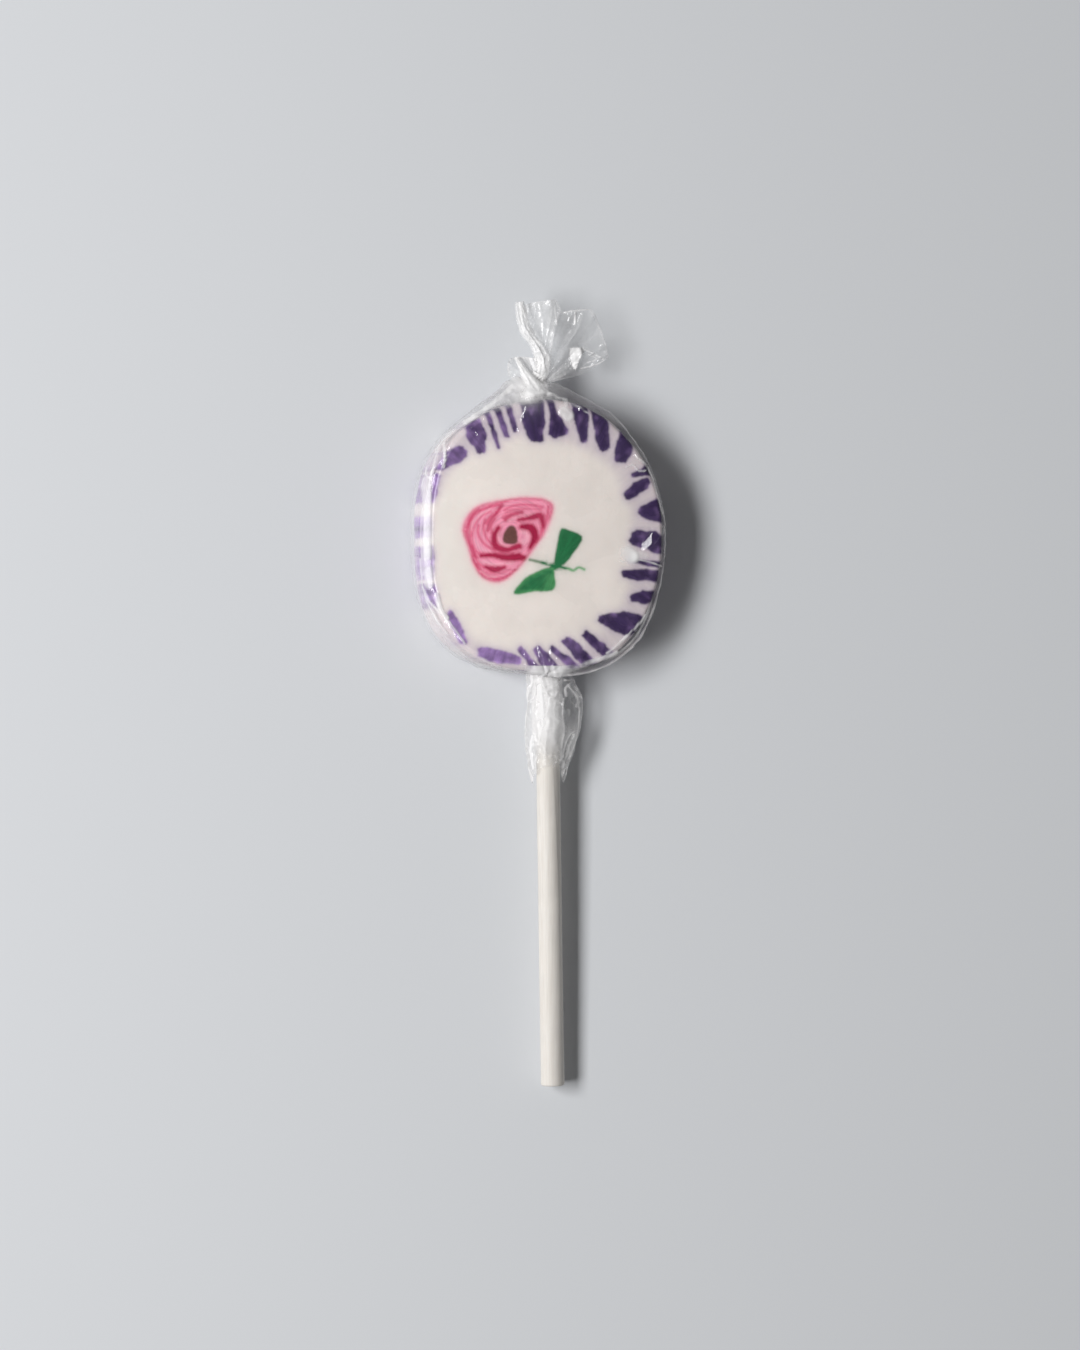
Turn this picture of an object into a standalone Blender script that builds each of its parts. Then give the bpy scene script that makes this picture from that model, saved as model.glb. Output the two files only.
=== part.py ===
"""A wrapped rock candy lollipop, lying on its back as it rests on a table.

A slice of a rope of boiled sugar: a white body with a pink rose, green leaves and a purple
striped rim, all of which run right through it. The rope was cut at a slant, so the top face
stands to the right of the bottom face. A rolled paper stick enters the lower edge. A clear film
wraps the candy, ends above it in a flattened twist, and hugs the stick below it.

+X is the photograph's right, +Y points away from the stick's free end, and +Z is up. The origin
is on the floor under the middle of the whole.
"""

import math

import bmesh
import bpy
from mathutils import Matrix, Vector

MM = 0.001

# Candy
CANDY_WIDTH = 39.2 * MM
CANDY_LENGTH = 45.3 * MM
CANDY_THICKNESS = 10.0 * MM
CANDY_EDGE = 1.0 * MM  # the rounding of its two rims
CANDY_SLANT = 3.0 * MM  # how far the top face stands to the right of the bottom face
FACE_CENTRE = Vector((1.25, 26.45)) * MM  # the middle of the top face
OUTLINE_POWER = 2.35  # 2 would be an ellipse, and more is squarer
OUTLINE_SWAY = 0.35  # how much rounder its roundest corner is, and squarer the opposite one
ROUNDEST_CORNER = math.radians(45)
OUTLINE_POINTS = 72
ROUNDING_STEPS = 2
ROUNDED_FROM = math.radians(60)  # the least turn of an edge that is rounded
SHARP_FROM = math.radians(35)  # the least turn of an edge that is shaded as sharp

# Film
FILM = 0.3 * MM
FILM_GAP = 0.3 * MM  # from the film to what it wraps

# Stick
STICK_DIAMETER = 4.0 * MM
STICK_LENGTH = 80.0 * MM
STICK_END = Vector((2.3, -65.7)) * MM  # the middle of its free end, seen from above
STICK_LEAN = math.radians(0.82)  # it leans to the left towards the candy
STICK_DROP = math.radians(1.7)  # its free end is lower
STICK_FIT = 0.15 * MM  # the play round it in the candy
STICK_EDGE = 0.3 * MM
STICK_SIDES = 32

INLAY_GAP = 0.12 * MM  # between the coloured sugar and the white round it
SPLINE_STEPS = 3
BAND_TIP = 0.22  # how far a band's end is drawn out, as a share of its width there
BAND_TIP_WIDTH = 0.5  # how wide the end is, as a share of its width there
LEAST_SQUARE_ON = 0.5  # limits how far a sharp corner of an outline moves

CANDY_BOTTOM = FILM + FILM_GAP
CANDY_MIDDLE = CANDY_BOTTOM + CANDY_THICKNESS / 2
CANDY_TOP = CANDY_BOTTOM + CANDY_THICKNESS
PAST = 1.0 * MM  # how far a cutter runs past what it cuts

# The purple stripes of the rim, clockwise from the upper left. Each has its outer end, its inner
# end and its widths at the outer end, in the middle and at the inner end, in millimetres from
# the middle of the top face. An outer end that lies past the rim shows on the side wall too.
STRIPES = (
    ((-18.0, 11.6), (-13.9, 14.0), (2.2, 2.8, 2.2)),
    ((-12.8, 20.4), (-10.8, 13.8), (2.6, 3.1, 1.6)),
    ((-10.2, 21.6), (-8.0, 14.6), (0.8, 0.9, 0.6)),
    ((-8.8, 22.8), (-6.6, 16.3), (1.0, 1.1, 0.9)),
    ((-7.0, 23.4), (-5.1, 17.3), (0.8, 0.9, 0.8)),
    ((-2.7, 23.6), (-1.6, 15.7), (4.2, 3.8, 2.1)),
    ((0.3, 23.6), (2.0, 17.0), (1.2, 1.4, 3.6)),
    ((5.4, 23.0), (6.2, 15.5), (2.9, 2.5, 1.2)),
    ((8.5, 21.4), (9.7, 14.3), (2.4, 2.5, 1.8)),
    ((14.0, 18.2), (12.2, 12.2), (2.2, 3.0, 1.9)),
    ((18.6, 11.3), (14.3, 9.9), (1.9, 1.5, 0.8)),
    ((16.9, 8.9), (13.4, 6.4), (1.4, 2.2, 1.3)),
    ((20.6, 4.2), (15.6, 3.9), (4.4, 3.8, 1.8)),
    ((20.8, -2.1), (14.6, -0.4), (2.4, 3.4, 2.7)),
    ((20.8, -5.3), (13.7, -4.2), (1.1, 1.0, 0.5)),
    ((20.8, -6.9), (12.8, -6.5), (1.8, 2.1, 1.2)),
    ((18.3, -10.0), (14.1, -10.6), (1.4, 2.2, 1.2)),
    ((17.4, -15.4), (9.2, -14.0), (2.2, 3.8, 1.5)),
    ((11.7, -21.2), (6.3, -16.3), (1.5, 1.9, 1.3)),
    ((8.6, -22.9), (3.2, -17.4), (1.9, 2.2, 1.5)),
    ((6.3, -23.4), (0.9, -18.9), (1.5, 1.4, 0.9)),
    ((2.0, -24.0), (-1.6, -18.9), (2.5, 2.3, 1.3)),
    ((-0.9, -23.2), (-4.5, -18.8), (1.3, 1.2, 0.9)),
    ((-4.6, -20.9), (-11.1, -19.4), (1.4, 2.3, 1.8)),
    ((-13.8, -17.9), (-16.1, -13.0), (1.3, 1.6, 1.0)),
    ((-18.7, -12.3), (-18.9, -8.0), (1.3, 1.4, 0.7)),
    ((-19.5, -7.6), (-19.4, -1.9), (1.2, 1.6, 1.1)),
    ((-19.9, -0.2), (-19.9, 3.0), (1.2, 1.5, 1.2)),
    ((-19.2, 5.6), (-18.4, 9.9), (1.0, 1.5, 1.5)),
)

# The rose and its leaves, as closed outlines, in millimetres from the middle of the top face
ROSE_OUTLINE = (
    (-14.0, 0.8), (-13.4, 2.9), (-11.5, 4.8), (-8.1, 5.7), (-4.4, 6.2), (-0.9, 6.1),
    (1.1, 5.0), (0.8, 2.7), (-0.4, 0.0), (-2.4, -2.7), (-4.1, -5.1), (-6.5, -7.3),
    (-8.6, -7.9), (-10.7, -7.1), (-12.3, -4.7), (-13.1, -2.0),
)
HEART_OUTLINE = ((-7.2, -1.2), (-7.1, 0.2), (-6.2, 1.5), (-5.1, 1.2), (-4.8, -1.1), (-6.0, -1.5))
UPPER_LEAF_OUTLINE = (
    (2.2, 0.6), (3.2, 1.0), (5.9, -0.3), (5.0, -2.3), (3.0, -4.8), (1.4, -5.0), (1.5, -3.0),
)
LOWER_LEAF_OUTLINE = (
    (0.0, -5.5), (1.2, -5.5), (1.3, -6.7), (1.6, -8.1), (0.9, -9.3), (-2.0, -9.4),
    (-4.6, -9.9), (-5.4, -9.4), (-3.5, -7.1), (-1.3, -6.0),
)

# The rose's dark folds, its stem and the tendril: points along the middle, and widths there
FOLDS = (
    (
        ((-11.3, 4.3), (-12.6, 2.8), (-12.9, 0.8), (-12.4, -1.4), (-11.9, -3.5)),
        (0.4, 0.5, 0.5, 0.5, 0.4),
    ),
    (((-7.3, 5.1), (-8.1, 3.9), (-9.4, 2.1), (-9.8, 0.6)), (0.5, 0.5, 0.5, 0.4)),
    (((-6.9, 2.5), (-5.9, 3.3), (-4.0, 3.8)), (0.6, 0.6, 0.4)),
    (((-4.7, 2.5), (-2.9, 2.8), (-1.1, 3.2), (-0.7, 2.2), (-0.6, 1.3)), (0.4, 0.6, 0.9, 0.6, 0.4)),
    (((-4.3, 1.3), (-2.6, 1.2), (-1.9, -0.3), (-2.8, -2.1)), (0.5, 1.2, 1.1, 0.4)),
    (
        ((-7.9, 1.3), (-8.7, -0.3), (-8.4, -1.9), (-6.5, -2.4), (-4.4, -1.8)),
        (0.5, 0.8, 1.0, 0.7, 0.8),
    ),
    (((-11.0, -3.5), (-8.9, -3.4), (-6.5, -3.8), (-4.4, -3.6)), (0.4, 0.6, 0.9, 1.2)),
    (((-10.1, -5.3), (-8.6, -5.8), (-6.8, -5.3)), (0.4, 0.9, 0.4)),
)
STEM = (((-2.9, -4.1), (-1.9, -4.3), (-0.4, -4.7)), (0.4, 0.45, 0.5))
TENDRIL = (
    ((2.9, -5.5), (3.6, -5.6), (4.5, -5.9), (5.4, -5.4), (6.4, -5.8)),
    (0.45, 0.45, 0.45, 0.4, 0.4),
)

# The film above and below the candy, as ovals across the Y axis: the place along Y, the middle in
# X and Z, and the half width and half height of the outer side, in millimetres
TENT = (
    (44.5, 1.9, 5.9, 12.4, 4.9),
    (47.8, 1.6, 6.2, 9.6, 4.8),
    (49.9, 1.0, 6.6, 5.6, 4.0),
    (51.2, 0.5, 6.9, 2.8, 2.6),
    (52.4, 0.3, 7.0, 1.5, 1.5),
)
SKIRT = (
    (5.4, 0.9, 5.3, 3.6, 3.0),
    (2.6, 1.7, 5.2, 3.8, 2.9),
    (-1.0, 2.6, 5.1, 4.5, 2.9),
    (-5.0, 2.4, 5.0, 4.7, 2.9),
    (-8.8, 1.8, 4.9, 4.2, 2.8),
    (-12.0, 1.6, 4.8, 3.3, 2.7),
    (-14.4, 1.5, 4.7, 2.7, 2.6),
)
OVAL_POINTS = 20

# The twist's fan: its root, and its reach in each direction, in degrees from +X
FAN_ROOT = Vector((0.3, 51.6, 7.0)) * MM
FAN_REACH = (
    (14, 6.5), (22, 12.2), (38, 13.2), (56, 15.2), (74, 12.6), (80, 14.4), (96, 13.9),
    (108, 14.0), (116, 9.5), (126, 5.6), (140, 7.4), (158, 7.4), (166, 5.0),
)
FAN_START = 0.9 * MM
FAN_COLUMNS, FAN_ROWS = 30, 4
FAN_THICKNESS = 0.4 * MM
FAN_WAVES = 7.0  # radians of wave for each radian of fan
FAN_WAVE_HEIGHT = 0.15  # for each millimetre from the root

COLOURS = {
    "white sugar": (222, 217, 211),
    "purple sugar": (74, 52, 100),
    "pink sugar": (214, 112, 140),
    "crimson sugar": (162, 46, 76),
    "brown sugar": (98, 66, 54),
    "green sugar": (50, 114, 76),
    "white paper": (238, 235, 230),
    "clear film": (205, 212, 220),
}
ROUGHNESS = {"white paper": 0.7, "clear film": 0.1}
SUGAR_ROUGHNESS = 0.3


def linear(channel):
    """A display value from 0 to 255 as a shader's value."""
    value = channel / 255
    return value / 12.92 if value <= 0.04045 else ((value + 0.055) / 1.055) ** 2.4


def material(name):
    """The Principled material of this name, made once."""
    found = bpy.data.materials.get(name)
    if found:
        return found
    made = bpy.data.materials.new(name)
    made.use_nodes = True
    shader = made.node_tree.nodes["Principled BSDF"]
    shader.inputs["Base Color"].default_value = (*map(linear, COLOURS[name]), 1.0)
    shader.inputs["Roughness"].default_value = ROUGHNESS.get(name, SUGAR_ROUGHNESS)
    return made


def clear_scene():
    for obj in list(bpy.data.objects):
        bpy.data.objects.remove(obj)


def new_collection(name):
    made = bpy.data.collections.new(name)
    bpy.context.scene.collection.children.link(made)
    return made


def new_object(name, mesh, collection, parent=None):
    made = bpy.data.objects.new(name, mesh)
    collection.objects.link(made)
    made.parent = parent
    return made


def new_piece(name, mesh, finish):
    """A visible piece of the lollipop, in its own material."""
    mesh.materials.clear()
    mesh.materials.append(material(finish))
    made = new_object(name, mesh, PIECES, ROOT)
    mesh.shade_smooth()
    mesh.set_sharp_from_angle(angle=SHARP_FROM)
    return made


def new_cutter(name, mesh):
    made = new_object(name, mesh, CUTTERS, ROOT)
    made.hide_render = True
    made.display_type = "WIRE"
    return made


def mesh_from(name, bm):
    bmesh.ops.recalc_face_normals(bm, faces=bm.faces)
    mesh = bpy.data.meshes.new(name)
    bm.to_mesh(mesh)
    bm.free()
    return mesh


def evaluated_mesh(obj):
    """The object's mesh with its modifiers applied, in its own space."""
    bpy.context.view_layer.update()
    graph = bpy.context.evaluated_depsgraph_get()
    return bpy.data.meshes.new_from_object(obj.evaluated_get(graph))


def boolean(obj, operation, other, solver="EXACT"):
    """Adds a Boolean with an object or with all of a collection."""
    made = obj.modifiers.new(operation.lower(), "BOOLEAN")
    made.operation = operation
    made.solver = solver
    if isinstance(other, bpy.types.Collection):
        made.operand_type = "COLLECTION"
        made.collection = other
    else:
        made.object = other
    return made


def smoothed(points, closed=False):
    """A Catmull-Rom curve through the points, which may have any number of dimensions."""
    points = [Vector(p) for p in points]
    count = len(points)
    curve = []
    for i in range(count if closed else count - 1):
        if closed:
            a, b, c, d = (points[(i + k) % count] for k in (-1, 0, 1, 2))
        else:
            a, b, c, d = (points[min(max(i + k, 0), count - 1)] for k in (-1, 0, 1, 2))
        for step in range(SPLINE_STEPS):
            t = step / SPLINE_STEPS
            curve.append(
                b + (c - a) * (t / 2) + (a * 2 - b * 5 + c * 4 - d) * (t * t / 2)
                + (b * 3 - a - c * 3 + d) * (t**3 / 2)
            )
    return curve if closed else curve + [points[-1]]


def band_tip(corner, other, way):
    """The two points that round a band's end, in order from one corner to the other."""
    middle = (corner + other) / 2
    out = way * (corner - other).length * BAND_TIP
    return [middle + (side - middle) * BAND_TIP_WIDTH + out for side in (corner, other)]


def ribbon(middle, widths):
    """The outline, in millimetres, of a band along a curve, with its own width at each point."""
    curve = smoothed([(*p, w / 2) for p, w in zip(middle, widths)])
    along = [Vector((b[0] - a[0], b[1] - a[1])).normalized() for a, b in zip(curve, curve[1:])]
    along = [along[0]] + [(a + b).normalized() for a, b in zip(along, along[1:])] + [along[-1]]
    left, right = [], []
    for (x, y, half), way in zip(curve, along):
        side = Vector((-way.y, way.x)) * half
        left.append(Vector((x, y)) + side)
        right.append(Vector((x, y)) - side)
    outline = left + right[::-1]
    # Both ends are drawn out and narrowed, so that they are rounded.
    last = band_tip(left[-1], right[-1], along[-1])
    first = band_tip(right[0], left[0], -along[0])
    return outline[: len(left)] + last + outline[len(left) :] + first


def stripe_outline(stripe):
    outer, inner, widths = stripe
    halfway = (Vector(outer) + Vector(inner)) / 2
    return ribbon((outer, halfway, inner), widths)


def grown(outline, distance):
    """The outline moved outwards by this many millimetres, or inwards if it is below 0."""
    points = [Vector(p) for p in outline]
    area = sum(a.x * b.y - b.x * a.y for a, b in zip(points, points[1:] + points[:1]))
    turn = 1 if area > 0 else -1
    moved = []
    for i, point in enumerate(points):
        before = (point - points[i - 1]).normalized()
        after = (points[(i + 1) % len(points)] - point).normalized()
        normal = Vector((before.y + after.y, -before.x - after.x)).normalized() * turn
        square_on = max(LEAST_SQUARE_ON, abs(normal.dot(Vector((after.y, -after.x)))))
        moved.append(point + normal * (distance / square_on))
    return moved


def face_outline(grow=0.0):
    """The candy's outline on its top face, in metres from the middle of the face."""
    half_width, half_length = CANDY_WIDTH / 2 + grow, CANDY_LENGTH / 2 + grow
    points = []
    for i in range(OUTLINE_POINTS):
        angle = 2 * math.pi * i / OUTLINE_POINTS
        power = OUTLINE_POWER - OUTLINE_SWAY * math.cos(angle - ROUNDEST_CORNER)
        across, along = math.cos(angle), math.sin(angle)
        size = (abs(across) ** power + abs(along) ** power) ** (-1 / power)
        points.append(Vector((half_width * across * size, half_length * along * size)))
    return points


def slanted(z):
    """How far a level of the rope stands from the top face."""
    return CANDY_SLANT * (z - CANDY_TOP) / CANDY_THICKNESS


def prism(name, outline, low, high):
    """The mesh of an outline, in metres on the top face, run down the slant of the rope."""
    bm = bmesh.new()
    start = Vector((FACE_CENTRE.x + slanted(low), FACE_CENTRE.y, low))
    corners = [bm.verts.new(start + Vector((p.x, p.y, 0))) for p in outline]
    made = bmesh.ops.extrude_face_region(bm, geom=[bm.faces.new(corners)])
    raised = [item for item in made["geom"] if isinstance(item, bmesh.types.BMVert)]
    bmesh.ops.translate(bm, verts=raised, vec=(slanted(high) - slanted(low), 0, high - low))
    return mesh_from(name, bm)


def puck(name, grow):
    """The candy's body with rounded rims, larger all round by grow."""
    low, high = CANDY_BOTTOM - grow, CANDY_TOP + grow
    bm = bmesh.new()
    corners = [bm.verts.new((p.x, p.y, low)) for p in face_outline(grow)]
    made = bmesh.ops.extrude_face_region(bm, geom=[bm.faces.new(corners)])
    raised = [item for item in made["geom"] if isinstance(item, bmesh.types.BMVert)]
    bmesh.ops.translate(bm, verts=raised, vec=(0, 0, high - low))
    block = new_cutter(name, mesh_from(name, bm))
    rounding = block.modifiers.new("rounding", "BEVEL")
    rounding.width = CANDY_EDGE + grow
    rounding.segments = ROUNDING_STEPS
    rounding.limit_method = "ANGLE"
    rounding.angle_limit = ROUNDED_FROM
    mesh = evaluated_mesh(block)
    bpy.data.objects.remove(block)
    slant = Matrix.Shear("XY", 4, (CANDY_SLANT / CANDY_THICKNESS, 0.0))
    to_face = Matrix.Translation((FACE_CENTRE.x, FACE_CENTRE.y, CANDY_TOP))
    mesh.transform(to_face @ slant @ Matrix.Translation((0, 0, -CANDY_TOP)))
    return mesh


def metres(outline):
    return [p * MM for p in outline]


def inlay(name, outline, finish):
    """A piece of coloured sugar that runs right through, inside the outline, in millimetres."""
    shape = metres(grown(outline, -INLAY_GAP / MM / 2))
    return new_piece(name, prism(name, shape, CANDY_BOTTOM, CANDY_TOP), finish)


def pocket(name, outline, collection):
    """The cutter that makes room for an inlay."""
    shape = metres(grown(outline, INLAY_GAP / MM / 2))
    made = new_cutter(name, prism(name, shape, CANDY_BOTTOM - PAST, CANDY_TOP + PAST))
    CUTTERS.objects.unlink(made)
    collection.objects.link(made)
    return made


def rim_stripe(name, stripe, candy, bore, pockets):
    outline = stripe_outline(stripe)
    pocket(f"{name}_pocket", outline, pockets)
    shape = metres(grown(outline, -INLAY_GAP / MM / 2))
    past_the_rim = prism(name, shape, CANDY_BOTTOM - PAST, CANDY_TOP + PAST)
    made = new_piece(name, past_the_rim, "purple sugar")
    boolean(made, "INTERSECT", candy)
    boolean(made, "DIFFERENCE", bore)


def rose(pockets):
    """The rose: pink petals with darker folds in them, and its brown heart."""
    outline = smoothed(ROSE_OUTLINE, closed=True)
    pocket("rose_pocket", outline, pockets)
    rose_pockets = new_collection("rose pockets")
    petals = inlay("rose_petals", outline, "pink sugar")
    heart = smoothed(HEART_OUTLINE, closed=True)
    pocket("rose_heart_pocket", heart, rose_pockets)
    inlay("rose_heart", heart, "brown sugar")
    for number, (middle, widths) in enumerate(FOLDS, 1):
        fold = ribbon(middle, widths)
        pocket(f"rose_fold_{number}_pocket", fold, rose_pockets)
        inlay(f"rose_fold_{number}", fold, "crimson sugar")
    boolean(petals, "DIFFERENCE", rose_pockets)


def leaves(pockets):
    outlines = {
        "leaf_upper": smoothed(UPPER_LEAF_OUTLINE, closed=True),
        "leaf_lower": smoothed(LOWER_LEAF_OUTLINE, closed=True),
        "stem": ribbon(*STEM),
        "tendril": ribbon(*TENDRIL),
    }
    for name, outline in outlines.items():
        pocket(f"{name}_pocket", outline, pockets)
        inlay(name, outline, "green sugar")


def stick_way():
    """The direction in which the stick runs from its free end to the candy."""
    level = math.cos(STICK_DROP)
    along, across = math.cos(STICK_LEAN) * level, -math.sin(STICK_LEAN) * level
    return Vector((across, along, math.sin(STICK_DROP)))


def rod(name, start, end, radius):
    """The mesh of a round bar between two points."""
    bm = bmesh.new()
    length = (end - start).length
    bmesh.ops.create_cone(
        bm, cap_ends=True, segments=STICK_SIDES, radius1=radius, radius2=radius, depth=length
    )
    turn = (end - start).to_track_quat("Z", "Y").to_matrix().to_4x4()
    bmesh.ops.transform(bm, matrix=Matrix.Translation((start + end) / 2) @ turn, verts=bm.verts)
    return mesh_from(name, bm)


def stick_ends():
    """The middles of the stick's free end and of its end inside the candy."""
    way = stick_way()
    drop = way.z * STICK_LENGTH
    free = Vector((STICK_END.x, STICK_END.y, CANDY_MIDDLE - drop))
    return free, free + way * STICK_LENGTH


def stick():
    free, buried = stick_ends()
    made = new_piece("stick", rod("stick", free, buried, STICK_DIAMETER / 2), "white paper")
    rounding = made.modifiers.new("rounding", "BEVEL")
    rounding.width = STICK_EDGE
    rounding.segments = ROUNDING_STEPS
    rounding.limit_method = "ANGLE"
    rounding.angle_limit = ROUNDED_FROM


def stick_bore():
    free, buried = stick_ends()
    radius = STICK_DIAMETER / 2 + STICK_FIT
    return new_cutter("bore", rod("bore", free, buried + stick_way() * STICK_FIT, radius))


def loft(name, ovals, inset=0.0):
    """The closed mesh through ovals that stand across the Y axis, all smaller by inset."""
    bm = bmesh.new()
    rings = []
    for along, x, z, half_width, half_height in ovals:
        half_width, half_height = half_width * MM - inset, half_height * MM - inset
        ring = []
        for i in range(OVAL_POINTS):
            angle = 2 * math.pi * i / OVAL_POINTS
            offset = Vector((half_width * math.cos(angle), 0, half_height * math.sin(angle)))
            ring.append(bm.verts.new(Vector((x, along, z)) * MM + offset))
        rings.append(ring)
    for near, far in zip(rings, rings[1:]):
        for i in range(OVAL_POINTS):
            j = (i + 1) % OVAL_POINTS
            bm.faces.new((near[i], near[j], far[j], far[i]))
    bm.faces.new(rings[0])
    bm.faces.new(rings[-1])
    return mesh_from(name, bm)


def fan_reach(angle):
    """How far the fan reaches from its root in this direction, in metres."""
    for (low, near), (high, far) in zip(FAN_REACH, FAN_REACH[1:]):
        if angle <= high:
            return (near + (far - near) * (angle - low) / (high - low)) * MM
    return FAN_REACH[-1][1] * MM


def fan():
    """The flattened end of the film's twist: a thin fan that rises and falls in folds."""
    bm = bmesh.new()
    bmesh.ops.create_grid(bm, x_segments=FAN_COLUMNS, y_segments=FAN_ROWS, size=0.5)
    first, last = FAN_REACH[0][0], FAN_REACH[-1][0]
    for vert in bm.verts:
        degrees = first + (last - first) * (vert.co.x + 0.5)
        angle = math.radians(degrees)
        reach = FAN_START + (fan_reach(degrees) - FAN_START) * (vert.co.y + 0.5)
        wave = FAN_WAVE_HEIGHT * math.sin(FAN_WAVES * angle) * reach
        vert.co = FAN_ROOT + Vector((math.cos(angle) * reach, math.sin(angle) * reach, wave))
    made = new_cutter("fan", mesh_from("fan", bm))
    thickness = made.modifiers.new("thickness", "SOLIDIFY")
    thickness.thickness = FAN_THICKNESS
    thickness.offset = 0.0
    return made


def wrapper():
    """The clear film, as one thin shell that is open round the stick at its lower end."""
    made = new_piece("wrapper", puck("wrapper", FILM_GAP + FILM), "clear film")
    boolean(made, "UNION", new_cutter("tent", loft("tent", TENT)))
    boolean(made, "UNION", new_cutter("skirt", loft("skirt", SKIRT)))
    boolean(made, "UNION", fan(), solver="MANIFOLD")  # the other solver loses the fan's folds
    along, *rest = SKIRT[-1]
    past_the_skirt = (along - PAST / MM, *rest)
    hollows = (
        puck("hollow", FILM_GAP),
        loft("tent_hollow", TENT[:-1], FILM),
        loft("skirt_hollow", (*SKIRT, past_the_skirt), FILM),
    )
    for hollow in hollows:
        boolean(made, "DIFFERENCE", new_cutter(hollow.name, hollow))


def stand_on_origin():
    """Moves the whole so that the middle of its box stands on the origin."""
    outermost = [evaluated_mesh(bpy.data.objects[name]) for name in ("wrapper", "stick")]
    for axis in (0, 1):
        values = [vertex.co[axis] for mesh in outermost for vertex in mesh.vertices]
        ROOT.location[axis] = -(min(values) + max(values)) / 2


def build():
    pockets = new_collection("pockets")
    bore = stick_bore()
    candy = new_cutter("candy", puck("candy", 0.0))
    for number, stripe in enumerate(STRIPES, 1):
        rim_stripe(f"stripe_{number:02d}", stripe, candy, bore, pockets)
    rose(pockets)
    leaves(pockets)
    core = new_piece("candy_core", puck("candy_core", 0.0), "white sugar")
    boolean(core, "DIFFERENCE", pockets)
    boolean(core, "DIFFERENCE", bore)
    stick()
    wrapper()
    stand_on_origin()


clear_scene()
PIECES = new_collection("rock candy lollipop")
CUTTERS = new_collection("cutters")
ROOT = new_object("lollipop", None, PIECES)
build()
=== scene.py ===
"""The looks of the wrapped rock candy lollipop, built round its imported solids.

The candy, with its pattern, is one closed mesh whose colours come from the outlines of the CAD
pieces. The paper stick and the three parts of the clear film each replace their CAD node.

Unless a name says otherwise, lengths are in millimetres, X and Y are from the middle of the
candy's top face, and Z is from the floor. +X is the photograph's right, and +Y points away from
the stick's free end.
"""

import math

import bmesh
import bpy
import numpy as np
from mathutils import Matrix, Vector, geometry, noise

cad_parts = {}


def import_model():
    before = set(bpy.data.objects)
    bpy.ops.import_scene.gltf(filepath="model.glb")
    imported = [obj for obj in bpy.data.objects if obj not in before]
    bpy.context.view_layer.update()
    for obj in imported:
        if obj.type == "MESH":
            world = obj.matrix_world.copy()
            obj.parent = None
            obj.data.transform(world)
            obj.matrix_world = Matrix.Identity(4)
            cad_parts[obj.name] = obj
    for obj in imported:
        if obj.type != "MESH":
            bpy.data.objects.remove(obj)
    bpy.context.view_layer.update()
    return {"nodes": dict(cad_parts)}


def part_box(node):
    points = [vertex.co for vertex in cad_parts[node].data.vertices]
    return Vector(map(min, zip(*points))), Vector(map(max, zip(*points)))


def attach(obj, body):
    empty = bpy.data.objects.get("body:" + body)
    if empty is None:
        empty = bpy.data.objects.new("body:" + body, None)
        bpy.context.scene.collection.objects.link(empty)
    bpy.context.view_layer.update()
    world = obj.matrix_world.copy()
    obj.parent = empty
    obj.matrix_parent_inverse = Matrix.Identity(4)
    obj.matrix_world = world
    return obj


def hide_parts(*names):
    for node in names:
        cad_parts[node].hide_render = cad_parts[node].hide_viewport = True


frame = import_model()

MM = 0.001

# The candy, as in the CAD
CANDY_WIDTH = 39.2
CANDY_LENGTH = 45.3
CANDY_THICKNESS = 10.0
CANDY_EDGE = 1.0
CANDY_SLANT = 3.0
CANDY_BOTTOM = 0.6
CANDY_TOP = CANDY_BOTTOM + CANDY_THICKNESS
OUTLINE_POWER = 2.35
OUTLINE_SWAY = 0.35
ROUNDEST_CORNER = math.radians(45)
INLAY_GAP = 0.12
SECTION_HEIGHT = 8.6  # above the stick's bore and below the rounded rim

# The rope is widest where the rounding of its top rim ends, and slants from there to its face.
CORE_LOW, CORE_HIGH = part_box("candy_core")
WIDEST = CANDY_WIDTH / 2 - CANDY_SLANT * CANDY_EDGE / CANDY_THICKNESS
FACE = Vector((CORE_HIGH.x - WIDEST * MM, (CORE_LOW.y + CORE_HIGH.y) / 2, 0.0))

LIGHT_LEVEL = 0.86  # what a white surface shows under the scene's lights
BRIGHTEST = 0.92  # the lightest that a real surface is


def linear(channel):
    value = channel / 255
    return value / 12.92 if value <= 0.04045 else ((value + 0.055) / 1.055) ** 2.4


def lit(*shown):
    """The surface's own colour that shows as this display colour, from 0 to 255, under the
    scene's lights."""
    return np.array([min(linear(c) / LIGHT_LEVEL, BRIGHTEST) for c in shown])


# The colours that the photograph shows
WHITE = lit(224, 216, 210)
JACKET_WHITE = lit(206, 196, 197)
LAVENDER = lit(150, 128, 170)
PURPLE = lit(40, 23, 66)
PALE_PURPLE = lit(128, 102, 150)
PINK = lit(232, 146, 170)
PALE_PINK = lit(243, 180, 190)
DEEP_PINK = lit(192, 58, 98)
CRIMSON = lit(156, 18, 62)
BROWN = lit(88, 56, 46)
GREEN = lit(27, 105, 62)
LIGHT_GREEN = lit(84, 156, 98)
STEM_GREEN = lit(96, 122, 94)
PAPER = lit(217, 213, 207)
PAPER_FIBRE = lit(205, 199, 192)
FLOOR = lit(198, 200, 203)

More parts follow.
